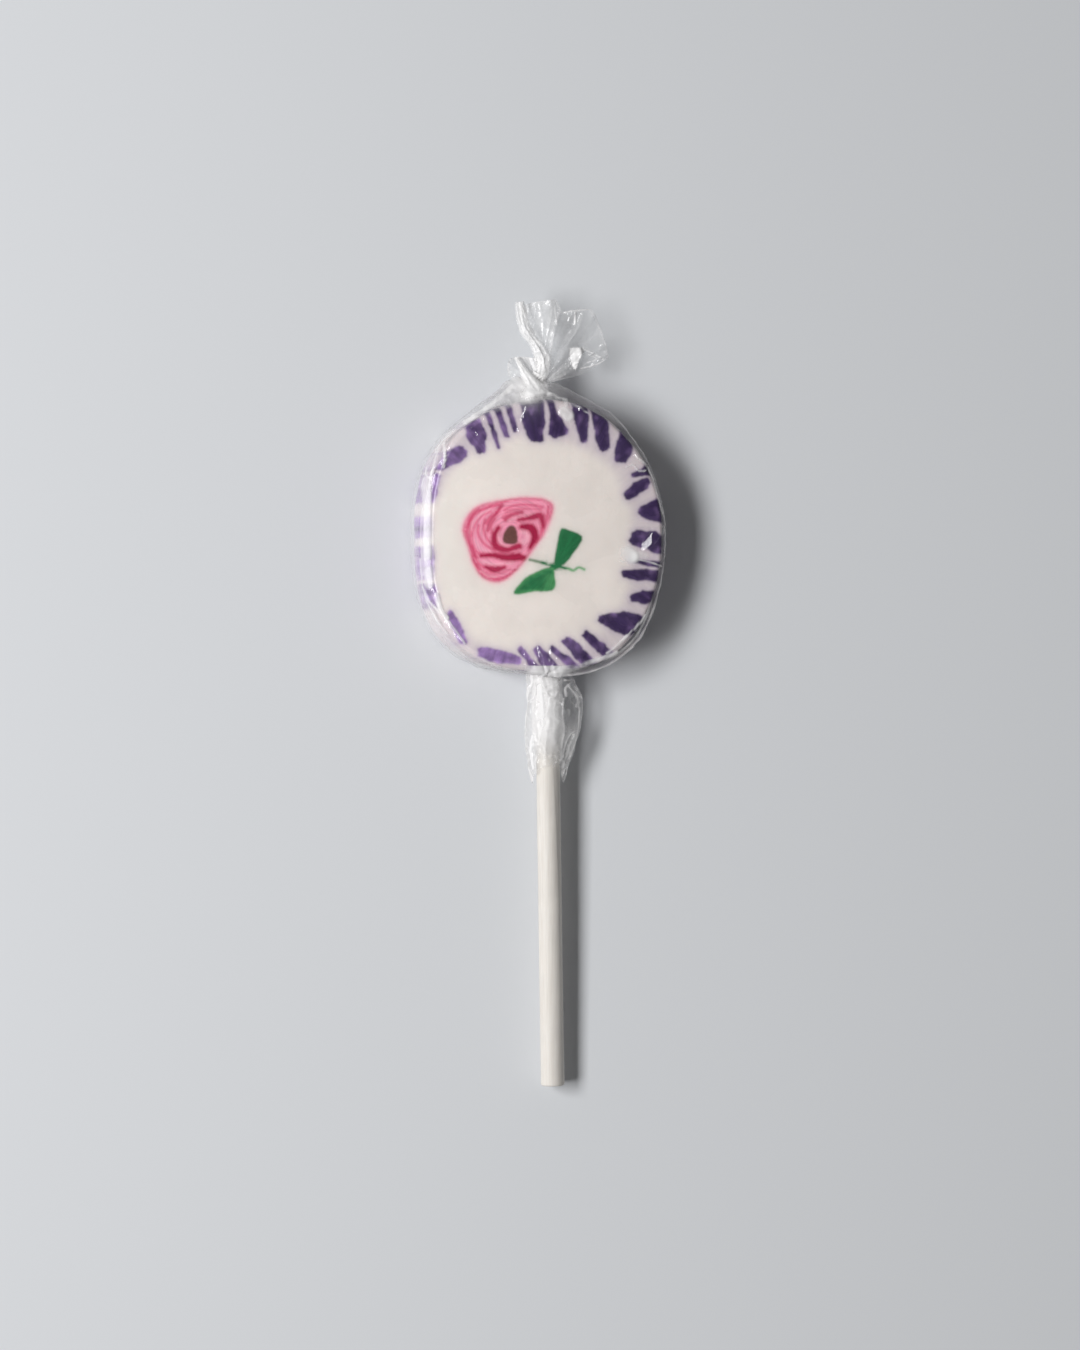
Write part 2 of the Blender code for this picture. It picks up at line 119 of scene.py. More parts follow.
# The candy's mesh
RING_POINTS = 640
OUTLINE_POINTS = 6000  # from which evenly spaced ones are worked out
ROUND_STEPS = 6
WALL_STEPS = 10
GRID_STEP = 0.55
FINE_STEP = 0.24  # in the rose, whose lines are fine
LEAST_SPACING = 0.18
EDGE_INSET, GRID_INSET = 0.12, 0.3  # how far such points stay inside the rim's ring
FINE_INSIDE, COARSE_OUTSIDE = 0.8, 1.0  # where the two grids end, outside the rose
WHOLE_CANDY = 6.0  # a reach that takes in the whole of its edge
EDGE_SOFTNESS = 0.19  # half the width over which one colour of sugar runs into the next
STRIPE_WOBBLE = 0.42
ROSE_WOBBLE = 0.10
# Layers of noise, each with its height, its size and its seed
EDGE_WOBBLE = ((1, 1.7, 81), (0.45, 0.6, 82))
MOTTLE = ((1, 1.5, 17), (0.4, 0.7, 18))
SIDE_LUMPS = ((0.10, 3.5, 4), (0.05, 1.3, 5))
FACE_LUMPS = ((0.035, 4.0, 6), (0.02, 1.1, 7))
SIDE_SINK, FACE_SINK = 0.06, 0.02  # so that the lumps stay inside the CAD's form
# How far the pattern wanders for each millimetre of depth, and at most
WANDER, MOST_WANDER = 0.12, 0.5

# Fine lines in the petals: points along each, its width, and how far it turns to deep pink, or
# to a lighter pink where that is below 0
PETAL_LINES = (
    (((-13.2, 1.2), (-12.7, 2.4), (-11.6, 3.7), (-9.6, 4.6), (-7.9, 5.0)), 0.42, 0.9),
    (((-13.3, 0.6), (-12.9, -1.2), (-12.3, -2.6), (-11.6, -3.8)), 0.4, 0.8),
    (((-12.4, -0.2), (-11.9, 1.6), (-10.9, 3.0), (-9.3, 3.9)), 0.34, 0.6),
    (((-11.3, 1.6), (-11.4, 0.4), (-10.9, -0.8), (-10.0, -1.8), (-8.6, -2.6)), 0.36, 0.75),
    (((-10.2, 2.6), (-10.5, 1.2), (-9.9, -0.6), (-8.8, -1.8)), 0.34, 0.7),
    (((-7.7, 4.6), (-8.4, 3.6), (-9.4, 2.9), (-10.1, 1.9)), 0.4, 0.8),
    (((-8.5, 2.6), (-9.2, 1.4), (-9.0, 0.2), (-8.5, -0.8)), 0.32, 0.65),
    (((-7.0, 4.1), (-5.9, 4.7), (-4.2, 5.0), (-2.2, 4.9), (-0.6, 4.6)), 0.36, 0.75),
    (((-7.3, 2.9), (-6.3, 3.9), (-4.6, 4.3), (-2.4, 4.3), (-0.9, 4.2)), 0.34, 0.6),
    (((0.3, 4.7), (0.2, 3.4), (-0.2, 1.9), (-0.7, 0.6), (-1.6, -1.2)), 0.38, 0.8),
    (((-0.4, 3.6), (-0.5, 2.0), (-1.0, 0.6)), 0.3, 0.6),
    (((-1.7, 0.2), (-2.1, -1.4), (-3.1, -2.6)), 0.32, 0.6),
    (((-12.4, -1.8), (-11.5, -2.9), (-9.8, -3.3), (-8.0, -3.1), (-6.2, -3.0)), 0.36, 0.7),
    (((-12.1, -3.4), (-11.4, -4.6), (-10.4, -5.4)), 0.36, 0.75),
    (((-11.6, -4.9), (-10.6, -6.2), (-9.3, -7.1), (-8.2, -7.3), (-6.6, -6.9), (-5.2, -5.9)),
     0.4, 0.85),
    (((-10.0, -6.2), (-8.8, -6.6), (-7.4, -6.4), (-6.0, -5.7)), 0.3, 0.5),
    (((-10.5, -4.4), (-9.0, -4.9), (-7.0, -4.8), (-5.4, -4.6)), 0.34, -0.9),
    (((-8.0, 0.6), (-7.9, -0.6), (-7.2, -1.7), (-5.8, -2.0), (-4.4, -1.3)), 0.34, -0.9),
    (((-4.0, 0.6), (-3.2, 0.2), (-3.3, -0.9), (-4.0, -1.2)), 0.7, -0.9),
    (((-6.4, 2.3), (-5.0, 2.9), (-3.4, 3.3), (-1.6, 3.5)), 0.34, -0.8),
    (((-12.8, 0.4), (-12.2, 2.0), (-11.0, 3.3), (-9.4, 4.2)), 0.3, -0.7),
    (((-11.9, -0.8), (-11.0, -2.2), (-9.4, -2.9)), 0.34, -0.7),
    (((-10.9, -6.0), (-9.6, -6.9), (-8.4, -7.0)), 0.26, -0.8),
)
# How far each of the rose's folds, in order, turns to crimson
FOLD_DEPTH = (0.1, 0.35, 0.45, 0.8, 1.0, 0.85, 1.0, 0.8)
# The lower band's faint end, which runs on to the rose's edge at the stem
BAND = 6
BAND_END = ((-5.6, -3.5), (-4.6, -3.65), (-3.8, -3.9))
BAND_END_WIDTH = 0.4
HEART = (-5.9, 0.0)
LEAF_ROOT = (1.4, -5.3)
LEAF_JOINT = ((-0.6, -4.65), (0.6, -5.0), (1.5, -5.3), (2.3, -5.35), (3.1, -5.55))
# The white heart of the rope lies off its middle, inside the striped jacket.
CORE_MIDDLE = (-2.5, -1.9)
CORE_HALF = (16.8, 17.8)

# The film
FILM_RING_POINTS = 720
FILM_FACE_HEIGHT = 10.72
FILM_FLOOR_HEIGHT = 0.12
FILM_TOP = 11.4
NECK = (-2.2, 25.0, 7.0)
NECK_RADIUS = 1.6
TENT_SHOULDERS = ((-5.4, 25.6), (2.9, 24.9))
STICK_ENTRY = (0.1, -22.9)
# How far the film stands off the candy's side, at this many degrees round from +X
FILM_GAPS = (
    (-180, 1.4), (-160, 1.2), (-148, 0.75), (-130, 0.4), (-110, 0.35), (-95, 0.4), (-75, 0.8),
    (-60, 1.15), (-48, 1.2),
    (-35, 0.7), (-18, 0.4), (10, 0.3), (35, 0.35), (50, 0.6), (62, 1.1), (75, 1.0), (90, 0.4),
    (120, 0.6), (150, 1.1), (180, 1.4),
)
LEAST_GAP = 0.2
# Where the film bridges the candy's rim with a flat slope instead of rounding it: the degrees
# round from +X, and how much of its way over the rim is flat
FILM_BRIDGES = (
    (-180, 1.0), (-160, 1.0), (-153, 0.4), (-146, 0.8), (-134, 0.6), (-122, 0.2), (100, 0.1),
    (125, 0.5), (140, 0.6), (150, 0.5), (158, 1.0), (180, 1.0),
)
BRIDGE = (
    (0.0, 0.0), (0.6, 0.03), (0.9, 0.09), (1.2, 0.19), (1.5, 0.29), (1.75, 0.37), (2.05, 0.5),
    (2.35, 0.8), (2.45, 1.3),
)
# Flat places in the film that mirror the light: centre, length, width, direction in degrees, and
# how much of the full slope each has
FACE_FACETS = (
    ((17.35, -0.8), 4.9, 1.65, 52, 1.0),
    ((19.1, -2.2), 6.5, 0.6, 91, 1.0),
    ((2.0, 22.0), 1.6, 0.5, -30, 1.0),
    ((5.4, 21.0), 1.3, 0.5, -22, 1.0),
    ((16.2, 11.4), 1.6, 0.5, 118, 1.0),
    ((14.9, 13.2), 1.0, 0.5, 140, 1.0),
    ((-11.4, 16.6), 1.4, 0.5, 120, 1.0),
)
# Folds in the film that show white, and white lines painted in as highlights where the film catches
# the light: the points along each, its width and its strength
BODY_FOLDS_AND_GLINTS = (
    (((-20.5, 10.4), (-19.5, 13.1), (-17.8, 15.3), (-15.7, 17.1), (-13.6, 18.6)), 0.8, 0.75),
    (((-13.6, 18.6), (-10.9, 20.3), (-8.2, 22.3), (-5.7, 24.6), (-4.2, 25.2)), 0.9, 0.95),
    (((-17.8, 15.0), (-19.4, 13.0), (-20.1, 10.6), (-19.5, 9.5), (-18.9, 10.8), (-18.4, 12.8),
      (-17.9, 14.6)), 0.42, 0.9),
    (((-17.0, 15.2), (-16.9, 13.2), (-17.1, 11.2)), 0.5, 0.85),
    (((-20.7, 4.4), (-20.9, 1.2), (-20.8, -3.0), (-20.4, -6.8)), 0.3, 0.5),
    (((-20.6, -8.6), (-19.2, -11.4), (-16.6, -14.0), (-13.6, -18.0)), 0.45, 0.75),
    (((-21.0, -4.0), (-20.6, -8.2), (-19.8, -11.2), (-18.2, -14.2), (-16.6, -16.4)), 0.3, 0.6),
    (((-0.9, 23.9), (1.4, 22.9), (3.4, 22.0)), 0.5, 0.7),
    (((3.4, 22.0), (5.2, 21.2), (7.0, 20.2)), 0.3, 0.4),
    (((2.9, 20.5), (3.6, 19.8)), 1.9, 0.85),
    (((3.3, 21.6), (3.1, 20.8)), 0.7, 0.6),
    (((-18.3, -10.0), (-17.7, -12.2), (-16.6, -13.8)), 0.9, 0.85),
    (((-20.1, 9.0), (-19.9, 6.0), (-19.8, 1.0), (-19.8, -4.0), (-19.5, -8.2)), 1.8, 0.72),
    (((-6.0, 21.9), (-3.2, 21.8), (-0.4, 22.1)), 0.5, 0.65),
    (((14.9, 13.0), (16.9, 11.0), (18.3, 7.1), (19.4, 3.1)), 0.28, 0.6),
    (((13.2, 11.2), (14.4, 11.6), (15.2, 10.7), (16.4, 10.6)), 0.3, 0.55),
    (((13.3, -3.4), (14.6, -3.2), (16.4, -3.5)), 1.3, 0.4),
    (((13.6, -3.1), (14.2, -3.6)), 2.6, 0.8),
    (((12.3, -4.5), (14.8, -4.1), (17.4, -4.6), (19.4, -5.4)), 0.3, 0.5),
    (((16.4, -13.3), (15.2, -15.0), (13.4, -16.7), (11.4, -18.6), (10.0, -19.6)), 0.32, 0.7),
    (((11.6, -19.5), (9.9, -20.3), (8.2, -20.8), (6.6, -21.4)), 0.7, 0.65),
    (((6.6, -21.4), (4.6, -22.2), (2.0, -22.7), (-0.8, -22.8)), 0.8, 0.5),
    (((-2.6, -22.9), (-7.4, -22.0), (-11.4, -20.2)), 0.4, 0.35),
)
# White lines that follow the film's outer edge, partly folds and partly painted highlights where
# the edge catches the light: from and to, in degrees, how far inside the edge each runs, its width
# and its strength
RIM_FOLDS_AND_GLINTS = (
    (-96, 20, 0.18, 0.3, 0.8),
    (-66, -28, 0.95, 0.35, 0.55),
    (28, 62, 0.25, 0.25, 0.4),
)
MIRROR_SLOPE = 0.333  # the slope that mirrors the key light up to the camera
THICKEST_CLOUD = 0.9


# Shared helpers

CREASE_SHARPNESS = 2.6
SEED_SHIFT = (7.3, 3.1, 5.7)
CURVE_STEPS = 6  # between two points of a drawn line


def world(points):
    """Points in metres in the frame, from millimetres round the candy's face."""
    return np.asarray(points) * MM + np.array(FACE)


def smoothstep(low, high, value):
    t = np.clip((value - low) / (high - low), 0.0, 1.0)
    return t * t * (3 - 2 * t)


def around(count):
    """Evenly spaced angles round a full turn."""
    return np.linspace(0, 2 * np.pi, count, endpoint=False)


def fading(away, core, fade):
    """1 up to the distance core, and dying away beyond it over about the length fade."""
    return np.exp(-np.maximum(away - core, 0) / fade)


def noise_at(points, size, seed):
    """Smooth noise of about this grain for an array of points, between about -1 and 1."""
    flat = np.asarray(points, float).reshape(-1, 3) / size
    shift = Vector([seed * way for way in SEED_SHIFT])
    values = np.array([noise.noise(Vector(p) + shift) for p in flat])
    return values.reshape(np.asarray(points).shape[:-1])


def creases_at(points, size, seed):
    """Sharp ridges of about this spacing, from 0 between them to 1 along them."""
    return np.clip(1 - CREASE_SHARPNESS * np.abs(noise_at(points, size, seed)), 0.0, 1.0)


def layered(kind, points, layers):
    """Several layers of noise or creases, each with its height, its size and its seed."""
    return sum(height * kind(points, size, seed) for height, size, seed in layers)


def catmull_rom(points, steps=8):
    """A smooth open curve through some points."""
    points = np.asarray(points, float)
    last = len(points) - 1
    curve = []
    for i in range(last):
        a, b, c, d = (points[min(max(i + k, 0), last)] for k in (-1, 0, 1, 2))
        for step in range(steps):
            t = step / steps
            curve.append(
                b + (c - a) * (t / 2) + (2 * a - 5 * b + 4 * c - d) * (t * t / 2)
                + (3 * b - a - 3 * c + d) * (t**3 / 2)
            )
    return np.array([*curve, points[-1]])


def grid_faces(rows, columns, closed, start=0):
    """The four-sided faces of a grid of points, from the one numbered start."""
    faces = []
    for k in range(rows - 1):
        for i in range(columns if closed else columns - 1):
            j = (i + 1) % columns
            a, b = start + k * columns, start + (k + 1) * columns
            faces.append((a + i, b + i, b + j, a + j))
    return faces


def new_mesh(name, points, faces):
    """A smooth-shaded object from points in millimetres round the candy's face."""
    mesh = bpy.data.meshes.new(name)
    mesh.from_pydata([tuple(p) for p in world(points)], [], [tuple(map(int, f)) for f in faces])
    mesh.validate()
    mesh.shade_smooth()
    made = bpy.data.objects.new(name, mesh)
    bpy.context.scene.collection.objects.link(made)
    return made


def set_attribute(mesh, name, kind, values):
    """A value for each vertex, for the materials to read."""
    field = {"FLOAT_COLOR": "color", "FLOAT_VECTOR": "vector", "FLOAT": "value"}[kind]
    attribute = mesh.attributes.new(name, kind, "POINT")
    attribute.data.foreach_set(field, np.asarray(values, np.float32).ravel())



# Materials


def node_adder(tree):
    """A function that adds a node to this tree and links what it is given."""
    tree.nodes.clear()

    def add(kind, links=(), **settings):
        node = tree.nodes.new(kind)
        values = settings.pop("values", {})
        for key, value in settings.items():
            setattr(node, key, value)
        for socket, value in values.items():
            node.inputs[socket].default_value = value
        for socket, source in dict(links).items():
            tree.links.new(source, node.inputs[socket])
        return node

    return add


def new_material(name):
    made = bpy.data.materials.new(name)
    made.use_nodes = True
    return made, node_adder(made.node_tree)


def noise_texture(add, place, scale, detail, roughness=0.5):
    return add(
        "ShaderNodeTexNoise", {"Vector": place},
        values={"Scale": scale, "Detail": detail, "Roughness": roughness},
    ).outputs["Fac"]


NOISE_RANGE = (0.3, 0.7)  # what a noise texture mostly gives


def spread(add, value, low, high, usual=NOISE_RANGE):
    """A value, mostly within its usual range, spread between low and high."""
    return add(
        "ShaderNodeMapRange", {"Value": value},
        values={"From Min": usual[0], "From Max": usual[1], "To Min": low, "To Max": high},
    ).outputs["Result"]


def multiplied(add, colour, share):
    return add("ShaderNodeVectorMath", {0: colour, 1: share}, operation="MULTIPLY").outputs[0]


def bumped(add, height, strength, distance):
    """The normal of a surface with this relief, whose height is in metres."""
    return add(
        "ShaderNodeBump", {"Height": height}, values={"Strength": strength, "Distance": distance},
    ).outputs["Normal"]


def finished(add, surface):
    add("ShaderNodeOutputMaterial", {"Surface": surface.outputs[0]})


def sugar_material():
    """Boiled sugar: the pattern's colours, drawn out into fine streaks, with a satin gloss."""
    made, add = new_material("sugar")
    pattern = add("ShaderNodeAttribute", attribute_name="pattern")
    grain = add("ShaderNodeAttribute", attribute_name="grain")
    streaks = noise_texture(add, grain.outputs["Vector"], 1.0, 4.0, roughness=0.6)
    depth = spread(add, streaks, 0.68, 1.4)
    streaked = multiplied(add, pattern.outputs["Color"], depth)
    coloured = add(
        "ShaderNodeMix",
        {"Factor": pattern.outputs["Alpha"], 6: pattern.outputs["Color"], 7: streaked},
        data_type="RGBA",
    )
    place = add("ShaderNodeTexCoord").outputs["Object"]
    clouds = noise_texture(add, place, 160.0, 3.0)
    milkiness = spread(add, clouds, 0.965, 1.03)
    fine = noise_texture(add, place, 1500.0, 4.0)
    finished(add, add(
        "ShaderNodeBsdfPrincipled",
        {"Base Color": multiplied(add, coloured.outputs[2], milkiness),
         "Roughness": spread(add, clouds, 0.22, 0.34),
         "Normal": bumped(add, fine, 0.12, 0.00008)},
        values={"Subsurface Weight": 0.08, "Subsurface Radius": (1.0, 0.7, 0.6),
                "Subsurface Scale": 0.0004, "IOR": 1.5},
    ))
    return made


def paper_material():
    """Rolled white paper: faint fibres along the stick and a matt surface."""
    made, add = new_material("rolled paper")
    place = add("ShaderNodeTexCoord").outputs["Object"]
    stretched = add(
        "ShaderNodeMapping", {"Vector": place}, values={"Scale": (2600.0, 90.0, 2600.0)},
    )
    fibres = noise_texture(add, stretched.outputs[0], 1.0, 5.0, roughness=0.65)
    mottle = noise_texture(add, place, 260.0, 3.0)
    colour = add("ShaderNodeValToRGB", {"Fac": fibres})
    dark, light = colour.color_ramp.elements
    dark.position, light.position = NOISE_RANGE
    dark.color = (*PAPER_FIBRE, 1.0)
    light.color = (*PAPER, 1.0)
    finished(add, add(
        "ShaderNodeBsdfPrincipled",
        {"Base Color": multiplied(add, colour.outputs["Color"], spread(add, mottle, 0.97, 1.02)),
         "Roughness": spread(add, mottle, 0.5, 0.68),
         "Normal": bumped(add, fibres, 0.35, 0.00006)},
        values={"Subsurface Weight": 0.08, "Subsurface Radius": (1.0, 0.9, 0.8),
                "Subsurface Scale": 0.0004, "IOR": 1.45},
    ))
    return made


# What the film mirrors head on, and how much more at a glance
MIRROR_HEAD_ON = 0.036
MIRROR_AT_GLANCE = 0.7
GLANCE_POWER = 4.0
FILM_ROUGHNESS = 0.12
# The haze of its folds and of the white lines painted as highlights, and how much of it shows at a
# glance where the film is flat
HAZE_COLOUR = (0.92, 0.91, 0.91, 1.0)
HAZE_ROUGHNESS = 0.5
HAZE_AT_GLANCE = 0.24
HAZE_POWER = 3.0


def film_material():
    """Thin clear film: it mirrors a little head on and much more at a glance, and its folded
    places, and the lines painted white as highlights, are cloudy."""
    made, add = new_material("clear film")

    def maths(operation, links, values=(), clamp=False):
        return add("ShaderNodeMath", links, operation=operation, use_clamp=clamp,
                   values=dict(values)).outputs[0]

    facing = add("ShaderNodeLayerWeight").outputs["Facing"]
    cloud = add("ShaderNodeAttribute", attribute_name="cloud").outputs["Fac"]
    shine = add("ShaderNodeAttribute", attribute_name="shine").outputs["Fac"]
    steep = maths("POWER", {0: facing}, {1: GLANCE_POWER})
    mirror = maths("MULTIPLY_ADD", {0: steep}, {1: MIRROR_AT_GLANCE, 2: MIRROR_HEAD_ON}, True)
    mirror = maths("MULTIPLY", {0: mirror, 1: shine})
    glance = maths("POWER", {0: facing}, {1: HAZE_POWER})
    veil = maths("MULTIPLY_ADD", {0: glance, 2: cloud}, {1: HAZE_AT_GLANCE}, True)
    place = add("ShaderNodeTexCoord").outputs["Object"]
    normal = bumped(add, noise_texture(add, place, 900.0, 3.0), 0.12, 0.0001)
    clear = add("ShaderNodeBsdfTransparent")
    gloss = add(
        "ShaderNodeBsdfPrincipled", {"Normal": normal},
        values={"Base Color": (1.0, 1.0, 1.0, 1.0), "Metallic": 1.0, "Roughness": FILM_ROUGHNESS},
    )
    haze = add(
        "ShaderNodeBsdfPrincipled", {"Normal": normal},
        values={"Base Color": HAZE_COLOUR, "Roughness": HAZE_ROUGHNESS},
    )
    sheet = add("ShaderNodeMixShader", {0: mirror, 1: clear.outputs[0], 2: gloss.outputs[0]})
    finished(add, add("ShaderNodeMixShader", {0: veil, 1: sheet.outputs[0], 2: haze.outputs[0]}))
    return made


def floor_material():
    made, add = new_material("floor")
    finished(add, add(
        "ShaderNodeBsdfPrincipled",
        values={"Base Color": (*FLOOR, 1.0), "Roughness": 0.8},
    ))
    return made


# The candy


def slanted(z):
    """How far a level of the rope of sugar stands from its top face."""
    return CANDY_SLANT * (z - CANDY_TOP) / CANDY_THICKNESS


def face_ring(count):
    """Evenly spaced points round the candy's face, and the outward direction at each."""
    angle = around(OUTLINE_POINTS)
    power = OUTLINE_POWER - OUTLINE_SWAY * np.cos(angle - ROUNDEST_CORNER)
    across, along = np.cos(angle), np.sin(angle)
    size = (np.abs(across) ** power + np.abs(along) ** power) ** (-1 / power)
    fine = np.stack([CANDY_WIDTH / 2 * across * size, CANDY_LENGTH / 2 * along * size], 1)
    steps = np.linalg.norm(np.roll(fine, -1, 0) - fine, axis=1)
    length = np.concatenate([[0], np.cumsum(steps)])
    closed = np.vstack([fine, fine[:1]])
    wanted = np.linspace(0, length[-1], count, endpoint=False)
    ring = np.stack([np.interp(wanted, length, closed[:, k]) for k in (0, 1)], 1)
    way = np.roll(ring, -1, 0) - np.roll(ring, 1, 0)
    outward = np.stack([way[:, 1], -way[:, 0]], 1)
    return ring, outward / np.linalg.norm(outward, axis=1)[:, None]


def section(node):
    """The closed outlines in which a level plane cuts a CAD node, the longest first."""
    bm = bmesh.new()
    bm.from_mesh(frame["nodes"][node].data)
    bmesh.ops.remove_doubles(bm, verts=bm.verts, dist=1e-6)
    cut = bmesh.ops.bisect_plane(
        bm, geom=[*bm.verts, *bm.edges, *bm.faces],
        plane_co=(0, 0, SECTION_HEIGHT * MM), plane_no=(0, 0, 1),
    )
    neighbours = {}
    for edge in cut["geom_cut"]:
        if isinstance(edge, bmesh.types.BMEdge):
            a, b = edge.verts
            neighbours.setdefault(a, []).append(b)
            neighbours.setdefault(b, []).append(a)
    outlines = []
    while neighbours:
        vertex = next(iter(neighbours))
        chain = []
        while vertex is not None:
            chain.append(vertex)
            onward = neighbours.pop(vertex)
            vertex = next((v for v in onward if v in neighbours), None)
        if len(chain) > 2:
            outlines.append(
                np.array([
                    ((v.co.x - FACE.x) / MM - slanted(SECTION_HEIGHT), (v.co.y - FACE.y) / MM)
                    for v in chain
                ])
            )
    bm.free()
    return sorted(outlines, key=lambda o: -np.linalg.norm(np.diff(o, axis=0), axis=1).sum())


def distance_to_path(points, a, b):
    """The least distance from each point to the segments from a to b."""
    along = b - a
    length = np.maximum((along**2).sum(1), 1e-12)
    t = np.clip(((points[:, None] - a) * along).sum(2) / length, 0, 1)
    return np.linalg.norm(points[:, None] - a - t[..., None] * along, axis=2).min(1)


def distance_to_curve(points, line):
    """The least distance from each point to the curve through these points."""
    path = catmull_rom(line, steps=CURVE_STEPS)
    return distance_to_path(points, path[:-1], path[1:])


def signed_distance(points, outline, reach=2.5):
    """The distance from each point to a closed outline, below 0 inside it, and no more than
    reach."""
    found = np.full(len(points), reach)
    low, high = outline.min(0) - reach, outline.max(0) + reach
    near = np.where(((points > low) & (points < high)).all(1))[0]
    if not len(near):
        return found
    p, a, b = points[near], outline, np.roll(outline, -1, 0)
    distance = distance_to_path(p, a, b)
    x, y = p[:, 0][:, None], p[:, 1][:, None]
    crosses = (a[:, 1] > y) != (b[:, 1] > y)
    rise = np.where(np.abs(b[:, 1] - a[:, 1]) < 1e-12, 1e-12, b[:, 1] - a[:, 1])
    left_of = x < a[:, 0] + (y - a[:, 1]) * (b[:, 0] - a[:, 0]) / rise
    inside = (crosses & left_of).sum(1) % 2 == 1
    found[near] = np.minimum(np.where(inside, -distance, distance), reach)
    return found


def wobbled(outline, amount):
    """The outline with the uneven edge of sugar that was folded in by hand."""
    path = offset_outline(outline, INLAY_GAP / 2)
    flat = np.column_stack([path, np.full(len(path), path[0, 0])])
    shift = layered(noise_at, flat, EDGE_WOBBLE)
    way = path - path.mean(0)
    way /= np.maximum(np.linalg.norm(way, axis=1), 0.3)[:, None]
    return path + way * (amount * shift)[:, None]


def read_pattern():
    """The outline of each piece of coloured sugar, from its CAD node."""
    pattern = {}
    for node in frame["nodes"]:
        if node in ("candy_core", "stick", "wrapper"):
            continue
        outline = section(node)[0]
        amount = STRIPE_WOBBLE if node.startswith("stripe") else ROSE_WOBBLE
        pattern[node] = wobbled(outline, amount)
    return pattern


def blend(colour, over, weight):
    return colour + (over - colour) * weight[:, None]


def inside(distance, softness=EDGE_SOFTNESS):
    """1 inside an outline and 0 outside it, with a soft edge."""
    return 1 - smoothstep(-softness, softness, distance)


# How far the colours run into the white sugar and the petals, and how strongly
STRIPE_BLEED = (0.45, 0.36)
ROSE_BLEED = (0.42, 0.36)
FOLD_BLEED = (0.2, 0.7)
LEAF_BLEED = (0.4, 0.16)
ROSE_SOFTNESS = 0.4
FOLD_SOFTNESS = 0.28
FOLD_GROWTH = 0.08
HEART_SOFTNESS = 0.24
LEAF_SOFTNESS = 0.22
# How far a petal line at full turn goes to its own colour
DEEP_LINE = 0.85
PALE_LINE = 0.5
# How much each sugar is drawn out into streaks
JACKET_STREAKS = 0.16
STRIPE_STREAKS = 0.8
ROSE_STREAKS = 0.45
LEAF_STREAKS = 0.6
NEAR_PIECE = 0.3  # where a piece's own streaks take over
# How close the streaks lie: round the rope's middle and out from it, in rings round the rose's
# heart, and as rays from the leaves' root. The last number keeps each apart in the noise.
ROPE_GRAIN = (22.0, 0.22)
RING_GRAIN = (3.0, 1.2, 40)
RAY_GRAIN = (9.0, 0.35, 80)
# How pale a stripe is: at the middle, less for each millimetre to the right and upwards, and
# more again for each one downwards
PALENESS = (0.10, 0.046, 0.010, 0.014)
MOST_PALE = 1.1
PALE_MOTTLE = 0.75
PALE_RANGE = (0.06, 1.6)
STRIPE_SOFTNESS = EDGE_SOFTNESS + 0.05
STRIPE_EDGE = 0.25  # how much lighter a stripe is along its edge


def stained(colour, over, distance, bleed, share=1.0):
    """The colour with some of another that ran out of its piece, at this distance from it."""
    reach, strength = bleed
    return blend(colour, over, fading(distance, 0, reach) * strength * share)


def stripe_colour(middle, mottle):
    """A stripe's purple, which is palest at the left and below, and uneven within each."""
    (x, y), (start, right, up, down) = middle, PALENESS
    pale = start - right * x - up * y + down * max(-y, 0.0)
    pale = np.clip(min(max(pale, 0.0), MOST_PALE) + PALE_MOTTLE * mottle, *PALE_RANGE)
    return PURPLE + (PALE_PURPLE - PURPLE) * pale[:, None]


def petal_colours(points, flat, rose, folds, heart):
    """The rose: pink petals with a deeper rim and fine lines, its dark folds and its heart."""
    rim = smoothstep(-0.6, -0.35, rose) * (1 - 0.8 * smoothstep(-0.25, 0.05, rose))
    rim = rim * np.clip(0.6 + 0.6 * noise_at(flat, 2.5, 19), 0, 1)
    petals = blend(np.tile(PINK, (len(points), 1)), DEEP_PINK, rim)
    for line, width, turn in PETAL_LINES:
        line_colour, share = (DEEP_PINK, DEEP_LINE) if turn > 0 else (PALE_PINK, PALE_LINE)
        mark = 1 - smoothstep(width * 0.1, width * 1.1, distance_to_curve(points, line))
        petals = blend(petals, line_colour, mark * share * abs(turn))
    for distance, depth in zip(folds, FOLD_DEPTH):
        petals = stained(petals, DEEP_PINK, distance, FOLD_BLEED, depth)
        own = DEEP_PINK + (CRIMSON - DEEP_PINK) * depth
        weight = inside(distance - FOLD_GROWTH, FOLD_SOFTNESS)
        petals = blend(petals, own, weight * min(1.0, 0.45 + 0.6 * depth))
    return blend(petals, BROWN, inside(heart, HEART_SOFTNESS) * 0.95)


